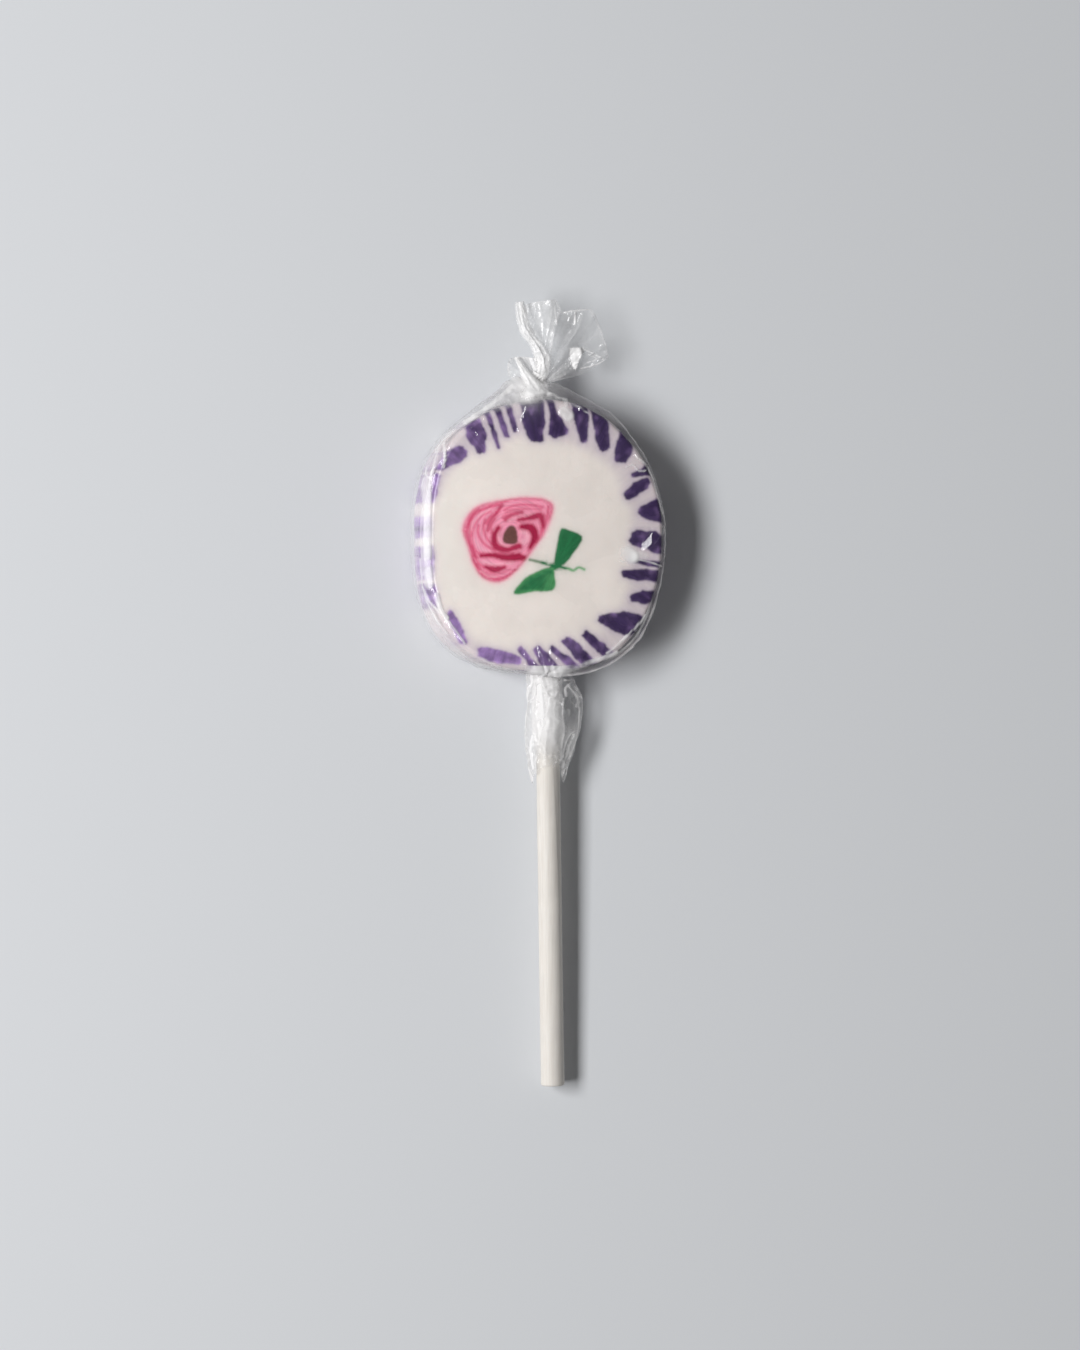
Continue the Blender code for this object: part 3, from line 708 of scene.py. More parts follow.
def sugar_colours(points, pattern):
    """The colour of the sugar at each point of the face, with the strength of its streaks as
    alpha, and the coordinates in which those streaks run."""
    count = len(points)
    radius = np.linalg.norm(points, axis=1)
    way = points / np.maximum(radius, 1e-6)[:, None]
    flat = np.column_stack([points, np.zeros(count)])
    distances = {name: signed_distance(points, outline) for name, outline in pattern.items()}
    stripes = {n: d for n, d in distances.items() if n.startswith("stripe")}

    # The white heart of the rope, its greyer jacket and the stripes
    ratio = np.abs(points - CORE_MIDDLE) / CORE_HALF
    size = (ratio**OUTLINE_POWER).sum(1) ** (1 / OUTLINE_POWER)
    jacket = smoothstep(0.93, 1.08, size + 0.03 * noise_at(flat, 5.0, 3))
    colour = blend(np.tile(WHITE, (count, 1)), JACKET_WHITE, jacket)
    colour = stained(colour, LAVENDER, np.min(list(stripes.values()), axis=0), STRIPE_BLEED)
    streaks = JACKET_STREAKS * jacket
    grain = np.column_stack([way * ROPE_GRAIN[0], radius * ROPE_GRAIN[1]])
    mottle = layered(noise_at, flat, MOTTLE)
    for name, distance in sorted(stripes.items()):
        paler_edge = 1 + STRIPE_EDGE * smoothstep(-0.5, 0.0, distance)[:, None]
        weight = inside(distance, STRIPE_SOFTNESS)
        own = stripe_colour(pattern[name].mean(0), mottle) * paler_edge
        colour = blend(colour, own, weight)
        streaks = np.maximum(streaks, weight * STRIPE_STREAKS)

    # The rose, whose streaks run in rings round its heart
    folds = [distances[f"rose_fold_{k + 1}"] for k in range(len(FOLD_DEPTH))]
    rose = np.minimum(distances["rose_petals"], np.min(folds, axis=0))
    band_end = distance_to_curve(points, BAND_END) - BAND_END_WIDTH
    folds[BAND] = np.minimum(folds[BAND], band_end)
    colour = stained(colour, PINK, rose, ROSE_BLEED)
    weight = inside(rose, ROSE_SOFTNESS)
    petals = petal_colours(points, flat, rose, folds, distances["rose_heart"])
    colour = blend(colour, petals, weight)
    from_heart = points - HEART
    turn = np.arctan2(from_heart[:, 1], from_heart[:, 0])
    across, round_it, apart = RING_GRAIN
    rings = np.column_stack([np.linalg.norm(from_heart, axis=1) * across,
                             np.cos(turn) * round_it, np.sin(turn) * round_it + apart])
    grain = np.where((rose < NEAR_PIECE)[:, None], rings, grain)
    streaks = np.maximum(streaks * (rose > NEAR_PIECE), weight * ROSE_STREAKS)

    # The leaves, whose streaks run out from where they join
    from_root = points - LEAF_ROOT
    reach = np.linalg.norm(from_root, axis=1)
    across, along, apart = RAY_GRAIN
    rays = np.column_stack([from_root / np.maximum(reach, 1e-6)[:, None] * across,
                            reach * along + apart])
    thick = 0.22 + 0.34 * np.exp(-((points[:, 0] - LEAF_ROOT[0]) / 0.5) ** 2)
    distances["joint"] = distance_to_curve(points, LEAF_JOINT) - thick
    for name, own, share in (
        ("stem", STEM_GREEN, 0.85), ("tendril", LIGHT_GREEN, 0.85), ("joint", GREEN, 1.0),
        ("leaf_upper", GREEN, 1.0), ("leaf_lower", GREEN, 1.0),
    ):
        distance = distances[name]
        colour = stained(colour, GREEN, distance, LEAF_BLEED)
        leaf = np.tile(own, (count, 1))
        if name == "leaf_lower":
            light = smoothstep(-1.2, 1.0, points[:, 0]) * smoothstep(-5.6, -7.2, points[:, 1])
            light = np.maximum(light * 0.6, smoothstep(-0.7, -0.1, distance) * 0.55)
            light = light + 0.25 * noise_at(flat, 1.0, 20)
            leaf = blend(leaf, LIGHT_GREEN, np.clip(light, 0, 1))
        weight = inside(distance, LEAF_SOFTNESS) * share
        colour = blend(colour, leaf, weight)
        streaks = np.maximum(streaks, weight * LEAF_STREAKS)
        own_streaks = (distance < NEAR_PIECE) & (rose > 0.0)
        grain = np.where(own_streaks[:, None], rays, grain)
    # Painted light: the sugar's colour is made a little lighter towards the left, where the key
    # light falls, and darker towards the right.
    colour = colour * (1 - 0.005 * points[:, :1])
    return np.column_stack([np.clip(colour, 0, BRIGHTEST), streaks]), grain


def offset_outline(outline, distance):
    """The outline moved outwards, with a point at least every 0.4 mm."""
    steps = np.roll(outline, -1, 0) - outline
    pieces = []
    for point, step in zip(outline, steps):
        parts = max(1, math.ceil(np.linalg.norm(step) / 0.4))
        pieces += [point + step * k / parts for k in range(parts)]
    path = np.array(pieces)
    way = np.roll(path, -1, 0) - np.roll(path, 1, 0)
    normal = np.stack([way[:, 1], -way[:, 0]], 1)
    normal /= np.maximum(np.linalg.norm(normal, axis=1), 1e-9)[:, None]
    x, y = path[:, 0], path[:, 1]
    area = (x * np.roll(y, -1) - np.roll(x, -1) * y).sum()
    return path + normal * distance * np.sign(area)


def even_grid(low, high, step):
    """Points in staggered rows between two corners."""
    rows = int((high[1] - low[1]) / step) + 1
    columns = int((high[0] - low[0]) / step) + 1
    return np.array([
        (low[0] + (i + 0.5 * (j % 2)) * step, low[1] + j * step)
        for j in range(rows) for i in range(columns)
    ])


def face_triangles(inner, pattern):
    """The face's points and triangles: those of its rim first, then along the edges of every
    piece of the pattern, then an even grid between them."""
    points = [*inner]
    edges = [(i, (i + 1) % len(inner)) for i in range(len(inner))]
    free = []
    for outline in pattern.values():
        for side in (-1, 1):
            path = offset_outline(outline, side * EDGE_SOFTNESS)
            keep = signed_distance(path, inner, WHOLE_CANDY) < -EDGE_INSET
            index = []
            for point, kept in zip(path, keep):
                index.append(len(points) if kept else None)
                if kept:
                    points.append(point)
                    free.append(point)
            edges += [(a, b) for a, b in zip(index, index[1:] + index[:1])
                      if a is not None and b is not None]
    free = np.array(free)
    rose = pattern["rose_petals"]
    corner = np.array((CANDY_WIDTH / 2, CANDY_LENGTH / 2))
    coarse = even_grid(-corner, corner, GRID_STEP)
    coarse = coarse[signed_distance(coarse, inner, WHOLE_CANDY) < -GRID_INSET]
    coarse = coarse[signed_distance(coarse, rose) > COARSE_OUTSIDE]
    fine = even_grid(rose.min(0) - 1, rose.max(0) + 1, FINE_STEP)
    fine = fine[signed_distance(fine, rose) < FINE_INSIDE]
    grid = np.vstack([coarse, fine])
    clear = np.array([np.min(((free - p) ** 2).sum(1)) > LEAST_SPACING**2 for p in grid])
    points += [*grid[clear]]
    verts, _, faces, sources, _, _ = geometry.delaunay_2d_cdt(
        [Vector(p) for p in points], edges, [], 0, 1e-5)
    place = {}
    for index, merged in enumerate(sources):
        for source in merged:
            place[source] = index
    ring = [place[i] for i in range(len(inner))]
    return np.array([tuple(v) for v in verts]), faces, ring


def candy():
    """The candy: two faces with the pattern, and rounded, slanting sides that it runs through."""
    pattern = read_pattern()
    ring, outward = face_ring(RING_POINTS)
    inner = ring - outward * CANDY_EDGE
    face, triangles, rim = face_triangles(inner, pattern)

    turns = [math.pi / 2 * k / ROUND_STEPS for k in range(1, ROUND_STEPS + 1)]
    down = [(-CANDY_EDGE + CANDY_EDGE * math.sin(a), CANDY_TOP - CANDY_EDGE * (1 - math.cos(a)))
            for a in turns]
    wall = np.linspace(CANDY_TOP - CANDY_EDGE, CANDY_BOTTOM + CANDY_EDGE, WALL_STEPS + 1)[1:-1]
    levels = down + [(0.0, z) for z in wall]
    levels += [(grow, CANDY_BOTTOM + CANDY_TOP - z) for grow, z in reversed(down)]
    flat = [face] + [ring + outward * grow for grow, _ in levels] + [face]
    heights = [CANDY_TOP] + [z for _, z in levels] + [CANDY_BOTTOM]
    flat_points = np.vstack(flat)
    z = np.concatenate([np.full(len(f), h) for f, h in zip(flat, heights)])

    starts = np.cumsum([0] + [len(f) for f in flat])
    loops = [[*rim]]
    loops += [list(range(s, s + RING_POINTS)) for s in starts[1:-2]]
    loops += [[starts[-2] + i for i in rim]]
    faces = [tuple(t) for t in triangles]
    for high, low in zip(loops, loops[1:]):
        for i in range(RING_POINTS):
            j = (i + 1) % RING_POINTS
            faces.append((high[j], high[i], low[i], low[j]))
    faces += [tuple(starts[-2] + i for i in reversed(t)) for t in triangles]

    # The rope was pulled and cut by hand, so the pattern wanders a little with depth, and the
    # sides and the cut faces aren't quite even.
    solid = np.column_stack([flat_points, z])
    depth = (CANDY_TOP - z)[:, None]
    wander = np.column_stack([
        noise_at(solid, 9.0, 1), noise_at(solid, 9.0, 2),
    ]) * np.minimum(depth * WANDER, MOST_WANDER)
    colours, grain = sugar_colours(flat_points + wander, pattern)
    grain[:, 2] += z * 0.05
    points = solid.copy()
    points[:, 0] += slanted(z)
    on_side = smoothstep(-CANDY_EDGE, -0.2, signed_distance(flat_points, ring, WHOLE_CANDY))
    direction = flat_points / np.maximum(np.linalg.norm(flat_points, axis=1), 1e-6)[:, None]
    lumps = layered(noise_at, solid, SIDE_LUMPS) - SIDE_SINK
    points[:, :2] += direction * (lumps * on_side)[:, None]
    on_face = 1 - on_side
    uneven = (layered(noise_at, solid, FACE_LUMPS) - FACE_SINK) * on_face
    points[:, 2] += np.where(z > CANDY_TOP / 2, uneven, -uneven)

    made = new_mesh("candy", points, faces)
    set_attribute(made.data, "pattern", "FLOAT_COLOR", colours)
    set_attribute(made.data, "grain", "FLOAT_VECTOR", grain)
    made.data.materials.append(sugar_material())
    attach(made, "root")
    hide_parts("candy_core", *pattern)


# The stick


END_DEPTH = 0.5  # the stick's corners that lie no further than this from its end


def stick_ends():
    """The middles of the CAD stick's two ends, the free one first, in millimetres."""
    low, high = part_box("stick")
    ends = []
    for near in (low.y, high.y):
        found = [v.co for v in frame["nodes"]["stick"].data.vertices
                 if abs(v.co.y - near) < END_DEPTH * MM]
        corners = [Vector((min(p[k] for p in found), max(p[k] for p in found), 0))
                   for k in (0, 2)]
        middle = [(c.x + c.y) / 2 for c in corners]
        ends.append(np.array([(middle[0] - FACE.x) / MM, (near - FACE.y) / MM, middle[1] / MM]))
    return ends


STICK_RADIUS = 2.0
STICK_SIDES = 72
STICK_RINGS = 60
STICK_ROUNDING = 0.35
PAPER_STEP = 0.05  # the edge of the rolled sheet
SEAM_TURN = 0.02  # how far that edge turns round the stick in each millimetre
PAPER_LAYER = 0.22  # the spacing of its layers at the cut end
LAYER_DEPTH = 0.07
END_MIDDLE = 0.12  # the radius of the innermost ring of the cut end
END_HOLLOW = 0.05
END_DISH = 0.02


def stick():
    """A stick of tightly rolled paper: the sheet's edge runs along it in a slow spiral, and its
    layers show at the cut end."""
    free, buried = stick_ends()
    way = buried - free
    length = np.linalg.norm(way)
    way /= length
    side = np.cross(way, (0, 0, 1.0))
    side /= np.linalg.norm(side)
    up = np.cross(side, way)
    angle = around(STICK_SIDES)

    def ring(along, radius, seam=0.0):
        turn = (angle - seam) % (2 * np.pi) / (2 * np.pi)
        own = radius - PAPER_STEP * turn * min(1.0, radius / STICK_RADIUS)
        across = np.outer(np.cos(angle) * own, side) + np.outer(np.sin(angle) * own, up)
        return free + way * along + across

    def cap(inwards):
        """Rings from the middle of an end to its rounded rim, with the paper's layers."""
        rings = []
        for radius in np.linspace(END_MIDDLE, STICK_RADIUS - STICK_ROUNDING, 26):
            layer = (radius / PAPER_LAYER - angle / (2 * np.pi)) % 1.0
            depth = LAYER_DEPTH * np.abs(2 * layer - 1) + END_DISH * (1 - radius / STICK_RADIUS)
            rings.append(ring(0.0, radius) + np.outer(depth * inwards, way))
        for turn in np.linspace(0.2, 1.0, 5) * math.pi / 2:
            radius = STICK_RADIUS - STICK_ROUNDING * (1 - math.sin(turn))
            rings.append(ring(0.0, radius) + way * STICK_ROUNDING * (1 - math.cos(turn)) * inwards)
        return rings

    far = way * length
    body = [ring(along, STICK_RADIUS, seam=SEAM_TURN * along)
            for along in np.linspace(STICK_ROUNDING, length - STICK_ROUNDING, STICK_RINGS)]
    rings = cap(1)[:-1] + body + [r + far for r in cap(-1)[:-1]][::-1]
    middles = [free[None] + way * END_HOLLOW, (free + far)[None] - way * END_HOLLOW]
    points = np.vstack(rings + middles)
    soft = noise_at(points * (1, 0.3, 1), 1.4, 9) * 0.02
    points = points + soft[:, None] * np.array((0.7, 0.0, 0.7))
    faces = grid_faces(len(rings), STICK_SIDES, closed=True)
    first, last = len(rings) * STICK_SIDES, len(rings) * STICK_SIDES + 1
    end = (len(rings) - 1) * STICK_SIDES
    for i in range(STICK_SIDES):
        j = (i + 1) % STICK_SIDES
        faces.append((first, i, j))
        faces.append((last, end + j, end + i))
    made = new_mesh("paper_stick", points, faces)
    made.data.materials.append(paper_material())
    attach(made, "root")
    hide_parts("stick")


# The film


def grid_normals(surface, closed):
    """The unit normals of a grid of points, from its neighbours along rows and columns."""
    down = np.gradient(surface, axis=0)
    if closed:
        along = (np.roll(surface, -1, 1) - np.roll(surface, 1, 1)) / 2
    else:
        along = np.gradient(surface, axis=1)
    normal = np.cross(down, along)
    size = np.linalg.norm(normal, axis=2, keepdims=True)
    return normal / np.maximum(size, 1e-9)


def film_piece(name, sheets):
    """One object of several sheets, each a grid of points, its cloudiness, how much it shines
    and whether it is closed round its columns."""
    points, clouds, shines, faces = [], [], [], []
    for surface, cloud, shine, closed in sheets:
        rows, columns = surface.shape[:2]
        faces += grid_faces(rows, columns, closed, sum(map(len, points)))
        points.append(surface.reshape(-1, 3))
        clouds.append(np.broadcast_to(cloud, (rows, columns)).ravel())
        shines.append(np.broadcast_to(shine, (rows, columns)).ravel())
    made = new_mesh(name, np.vstack(points), faces)
    set_attribute(made.data, "cloud", "FLOAT", np.concatenate(clouds))
    set_attribute(made.data, "shine", "FLOAT", np.concatenate(shines))
    made.data.materials.append(FILM)
    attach(made, "root")
    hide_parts("wrapper")


def facet_heights(surface, facets):
    """The height of flat places that slope up to the right, for points seen from above."""
    height = np.zeros(surface.shape[:2])
    for (x, y), length, width, degrees, share in facets:
        turn = math.radians(degrees)
        dx, dy = surface[..., 0] - x, surface[..., 1] - y
        along = dx * math.cos(turn) + dy * math.sin(turn)
        across = -dx * math.sin(turn) + dy * math.cos(turn)
        away = np.sqrt((along / (length / 2)) ** 2 + (across / (width / 2)) ** 2)
        mask = 1 - smoothstep(0.85, 1.25, away)
        reach = abs(length / 2 * math.cos(turn)) + abs(width / 2 * math.sin(turn))
        height += mask * MIRROR_SLOPE * share * (dx + min(reach, width))
    return height


def folds_and_glints_at(surface, folds):
    """The strength, from 0 to 1, of drawn folds and of white lines painted as highlights, at each
    point seen from above.
    """
    flat = surface[..., :2].reshape(-1, 2)
    found = np.zeros(len(flat))
    for points, width, strength in folds:
        path = catmull_rom(points, steps=5)
        near = ((flat > path.min(0) - width) & (flat < path.max(0) + width)).all(1)
        away = distance_to_path(flat[near], path[:-1], path[1:])
        mark = strength * (1 - smoothstep(width * 0.25, width * 0.65, away))
        found[near] = np.maximum(found[near], mark)
    return found.reshape(surface.shape[:2])


def film_outline(ring, outward):
    """The film's outline seen from above: tight round the candy, and drawn out to the neck."""
    degrees = np.degrees(np.arctan2(ring[:, 1], ring[:, 0]))
    gap = np.interp(degrees, *zip(*FILM_GAPS))
    side = ring + outward * gap[:, None]
    turn = around(24)
    neck = NECK[:2] + NECK_RADIUS * np.stack([np.cos(turn), np.sin(turn)], 1)
    outermost = np.vstack([side, neck, TENT_SHOULDERS])
    hull = outermost[geometry.convex_hull_2d([Vector(p) for p in outermost])]
    reach = []
    for point in side:
        way = point / np.linalg.norm(point)
        a, b = hull, np.roll(hull, -1, 0)
        edge = b - a
        cross = way[0] * edge[:, 1] - way[1] * edge[:, 0]
        cross = np.where(np.abs(cross) < 1e-12, 1e-12, cross)
        distance = (a[:, 0] * edge[:, 1] - a[:, 1] * edge[:, 0]) / cross
        t = (a[:, 0] * way[1] - a[:, 1] * way[0]) / cross
        hit = (distance > 0) & (t >= -1e-9) & (t <= 1 + 1e-9)
        reach.append(distance[hit].max())
    return gap, np.maximum(np.array(reach) - np.linalg.norm(side, axis=1), 0.0)


RIM_HIGH = CANDY_TOP - CANDY_EDGE
RIM_LOW = CANDY_BOTTOM + CANDY_EDGE
OVER_STEPS = 11
BRIDGE_PATH = catmull_rom(BRIDGE)
# Only the shown side of the film is marked by its larger folds, from this height up.
SHOWN = (7.0, 8.2)
# Pleats that run to the neck above and to the stick below: the place, how far they reach, their
# height and how many there are
PLEATS = ((NECK[:2], 7.0, 0.55, 3.4), (STICK_ENTRY, 3.6, 0.4, 3.0))


def side_profile():
    """The way over the rim, down the side and under it: how far out, from 0 to 1, and the
    height."""
    over = CANDY_EDGE + FILM_FACE_HEIGHT - CANDY_TOP
    under = CANDY_EDGE + CANDY_BOTTOM - FILM_FLOOR_HEIGHT
    side = [(math.sin(turn), RIM_HIGH + over * math.cos(turn))
            for turn in np.linspace(0, math.pi / 2, OVER_STEPS + 1)[1:]]
    side += [(1.0, z) for z in np.linspace(RIM_HIGH, RIM_LOW, 16)[1:-1]]
    side += [(math.sin(turn), RIM_LOW - under * math.cos(turn))
             for turn in np.linspace(math.pi / 2, 0, 8)[:-1]]
    return side


def film_form(ring, outward, bridge):
    """The film's smooth form, how far each column is drawn out to the neck, from 0 to 1, and 1
    for its rows on the side and 0 for those on the faces."""
    gap, drawn_out = film_outline(ring, outward)
    lean = ring / np.linalg.norm(ring, axis=1)[:, None]
    inner = ring - outward * CANDY_EDGE
    share = drawn_out / drawn_out.max()

    def face_rows(parts, height):
        return [np.column_stack([inner * p, np.full(len(ring), height)]) for p in parts]

    rows = face_rows([*np.linspace(0.02, 0.7, 12), *np.linspace(0.73, 1.0, 30)], FILM_FACE_HEIGHT)
    side = side_profile()
    weights = [0.0] * len(rows) + [1.0] * len(side)
    for index, (out, z) in enumerate(side):
        wedge = math.sin(math.pi * (index + 1) / (len(side) + 1)) ** 0.75
        # The film lies closer to the candy lower down.
        closeness = 0.3 + 0.7 * float(np.clip((z - RIM_LOW) / (RIM_HIGH - RIM_LOW), 0, 1))
        out = out * (CANDY_EDGE + np.maximum(gap * closeness, LEAST_GAP))
        if z > RIM_HIGH:
            part = (index + 1) / OVER_STEPS * (len(BRIDGE_PATH) - 1)
            steps = range(len(BRIDGE_PATH))
            bridged, drop = (np.interp(part, steps, BRIDGE_PATH[:, k]) for k in (0, 1))
            bridged = bridged * (CANDY_EDGE + gap) / BRIDGE[-1][0]
            out = out + (bridged - out) * bridge
            z = z + (FILM_FACE_HEIGHT - drop - z) * bridge
        flat = inner + outward * out[:, None] + lean * (drawn_out * wedge)[:, None]
        rows.append(np.column_stack([flat, z + (NECK[2] - z) * share**0.8 * wedge]))
    below = face_rows(np.linspace(1.0, 0.02, 16), FILM_FLOOR_HEIGHT)
    surface = np.array(rows + below)
    surface[..., 0] += slanted(surface[..., 2])
    return surface, share, np.array(weights + [0.0] * len(below))[:, None]


def body_creases(surface, plan, bridge):
    """The height of the fine creases round the rim and down the sides, and of the pleats."""
    ratio = np.linalg.norm(plan / (CANDY_WIDTH / 2, CANDY_LENGTH / 2), axis=2)
    rim = smoothstep(0.80, 1.0, ratio)
    calm = 1 - 0.97 * bridge[None] * smoothstep(7.0, 8.5, surface[..., 2])
    height = 0.03 * calm * creases_at(surface, 6.0, 11)
    height += 0.16 * rim * calm * creases_at(surface, 2.6, 12)
    height += 0.06 * rim * calm * creases_at(surface, 1.1, 13)
    for (x, y), reach, amount, count in PLEATS:
        dx, dy = surface[..., 0] - x, surface[..., 1] - y
        away = np.sqrt(dx**2 + dy**2)
        turn = np.arctan2(dx, -dy)
        pleats = np.stack([turn * count, away / 16, surface[..., 2] / 14], 2)
        fade = fading(away, 1.5, reach)
        height += amount * fade * creases_at(pleats, 1.0, 14)
        height += 0.15 * fade * creases_at(surface, 1.5, 15)
    return height + facet_heights(surface, FACE_FACETS) * (surface[..., 2] > 5.0)


def body_folds_and_glints(surface, plan, degrees):
    """The strength, from 0 to 1, of the drawn folds and of the lines along the outer edge, both
    partly painted highlights.
    """
    distance = np.linalg.norm(plan, axis=2)
    inset = distance.max(0) - distance
    folds = folds_and_glints_at(surface, BODY_FOLDS_AND_GLINTS) * smoothstep(*SHOWN, surface[..., 2])
    for start, end, place, width, strength in RIM_FOLDS_AND_GLINTS:
        mark = 1 - smoothstep(width * 0.25, width * 0.65, np.abs(inset - place))
        ends = smoothstep(start, start + 12, degrees) * (1 - smoothstep(end - 12, end, degrees))
        mark = mark * ends * strength * smoothstep(7.5, 8.5, surface[..., 2])
        folds = np.maximum(folds, mark)
    return np.clip(folds * (0.75 + 0.5 * noise_at(surface, 2.2, 16)), 0, 1)


def film_body():
    """The film round the candy, with the tent that rises to the twist's neck."""
    ring, outward = face_ring(FILM_RING_POINTS)
    degrees = np.degrees(np.arctan2(ring[:, 1], ring[:, 0]))
    bridge = np.interp(degrees, *zip(*FILM_BRIDGES))
    surface, share, on_side = film_form(ring, outward, bridge)
    normal = grid_normals(surface, True)
    plan = surface[..., :2].copy()
    plan[..., 0] -= slanted(surface[..., 2])
    folds = body_folds_and_glints(surface, plan, degrees)
    height = body_creases(surface, plan, bridge) + 0.10 * folds
    height = np.where(surface[..., 2] < 1.0, height * 0.15, height)
    surface = surface + normal * height[..., None]
    surface[..., 2] = np.clip(surface[..., 2], 0.02, FILM_TOP)

    def near(place, core, fade):
        return fading(np.linalg.norm(surface[..., :2] - place, axis=2), core, fade)

    gathered = 0.7 + 0.6 * creases_at(surface * (1.4, 0.5, 1), 1.6, 19)
    cloud = 0.004 + 0.85 * near((-2.3, 24.9), 1.5, 0.75) * gathered
    cloud += 0.4 * near((-3.4, 23.3), 1.0, 0.8) + 0.7 * near(STICK_ENTRY, 2.5, 1.1) * on_side
    cloud += (0.1 + 0.35 * smoothstep(-1.0, -6.0, surface[..., 0])) * share[None, :] * on_side
    # The drawn folds are partly painted highlights: white haze placed where the film catches the
    # light.
    cloud = np.maximum(cloud, folds)
    shine = 1 - 0.4 * bridge
    film_piece("film_body", [(surface, np.clip(cloud, 0, THICKEST_CLOUD), shine, True)])


# The skirt below the candy, as ovals across Y: the place along Y, the middle in X and Z, and the
# half width and half height
SKIRT = (
    (-21.4, -0.35, 5.3, 3.2, 2.6),
    (-23.6, 0.35, 5.2, 3.7, 2.7),
    (-27.4, 1.35, 5.1, 4.4, 2.7),
    (-31.4, 1.15, 5.0, 4.6, 2.6),
    (-35.2, 0.55, 4.9, 4.1, 2.6),
    (-38.4, 0.35, 4.8, 3.2, 2.5),
    (-41.0, 0.25, 4.7, 2.6, 2.4),
)
# The sleeve of film that is wound tight round the stick: the place along Y and its radius
SLEEVE = ((-21.4, 2.9), (-22.6, 2.6), (-25.0, 2.5), (-28.0, 2.55), (-31.0, 2.5), (-33.5, 2.4),
          (-35.5, 2.2), (-38.0, 2.06), (-41.5, 2.04))
# Folds in the skirt that show white, partly painted highlights along its bright edges: the points
# along each, its width and its strength
SKIRT_FOLDS_AND_GLINTS = (
    (((-2.6, -22.8), (-2.5, -24.6), (-3.0, -26.0), (-3.2, -29.0), (-3.5, -32.0)), 0.45, 0.75),
    (((-3.5, -32.0), (-3.8, -34.6), (-3.5, -36.6), (-2.9, -38.7), (-2.3, -41.0)), 0.3, 0.6),
    (((-2.4, -33.5), (-2.7, -35.4), (-2.5, -37.4), (-2.2, -39.0)), 0.5, 0.8),
    (((2.9, -24.2), (4.6, -24.4), (5.6, -25.6), (5.7, -26.9), (5.3, -27.8)), 0.4, 0.65),
    (((3.6, -25.2), (4.6, -26.3), (5.2, -27.4), (5.0, -28.6)), 0.5, 0.7),
    (((5.3, -27.8), (5.5, -30.0), (5.4, -32.2), (4.7, -34.8), (3.6, -37.6), (2.8, -39.7)),
     0.32, 0.85),
    (((2.8, -27.2), (2.7, -30.0), (3.0, -32.6), (2.6, -35.4)), 0.35, 0.5),
    (((4.9, -32.6), (3.9, -33.4), (3.2, -35.2), (2.8, -37.0)), 0.3, 0.6),
    (((4.2, -34.4), (3.4, -36.6), (2.7, -38.8)), 0.35, 0.5),
    (((4.0, -24.6), (3.1, -25.6), (3.2, -26.8)), 0.5, 0.5),
)


def stick_axis(y):
    """The stick's middle in X and Z at this place along Y."""
    (x0, y0, z0), (x1, y1, z1) = stick_ends()
    t = (np.asarray(y) - y0) / (y1 - y0)
    return x0 + (x1 - x0) * t, z0 + (z1 - z0) * t


def hem(start, end, rows, drop):
    """Places along Y for each row and column of a tube that ends in an uneven hem."""
    part = np.linspace(0, 1, rows)[:, None]
    return start + (end - start + drop[None, :]) * part


def ragged_hem(count, layers):
    """Noise round a tube, with its height, its waves and its seed for each layer."""
    turn = around(count)
    loop = np.stack([np.cos(turn), np.sin(turn), np.zeros(count)], 1)
    return sum(height * noise_at(loop * waves, 1.0, seed) for height, waves, seed in layers)


# Where the tubes round the stick start, and where their hems are
SKIRT_REACH = (-21.4, -40.6)
SLEEVE_REACH = (-21.2, -38.3)
SKIRT_LEAST = STICK_RADIUS + 0.12
SLEEVE_LEAST = STICK_RADIUS + 0.04


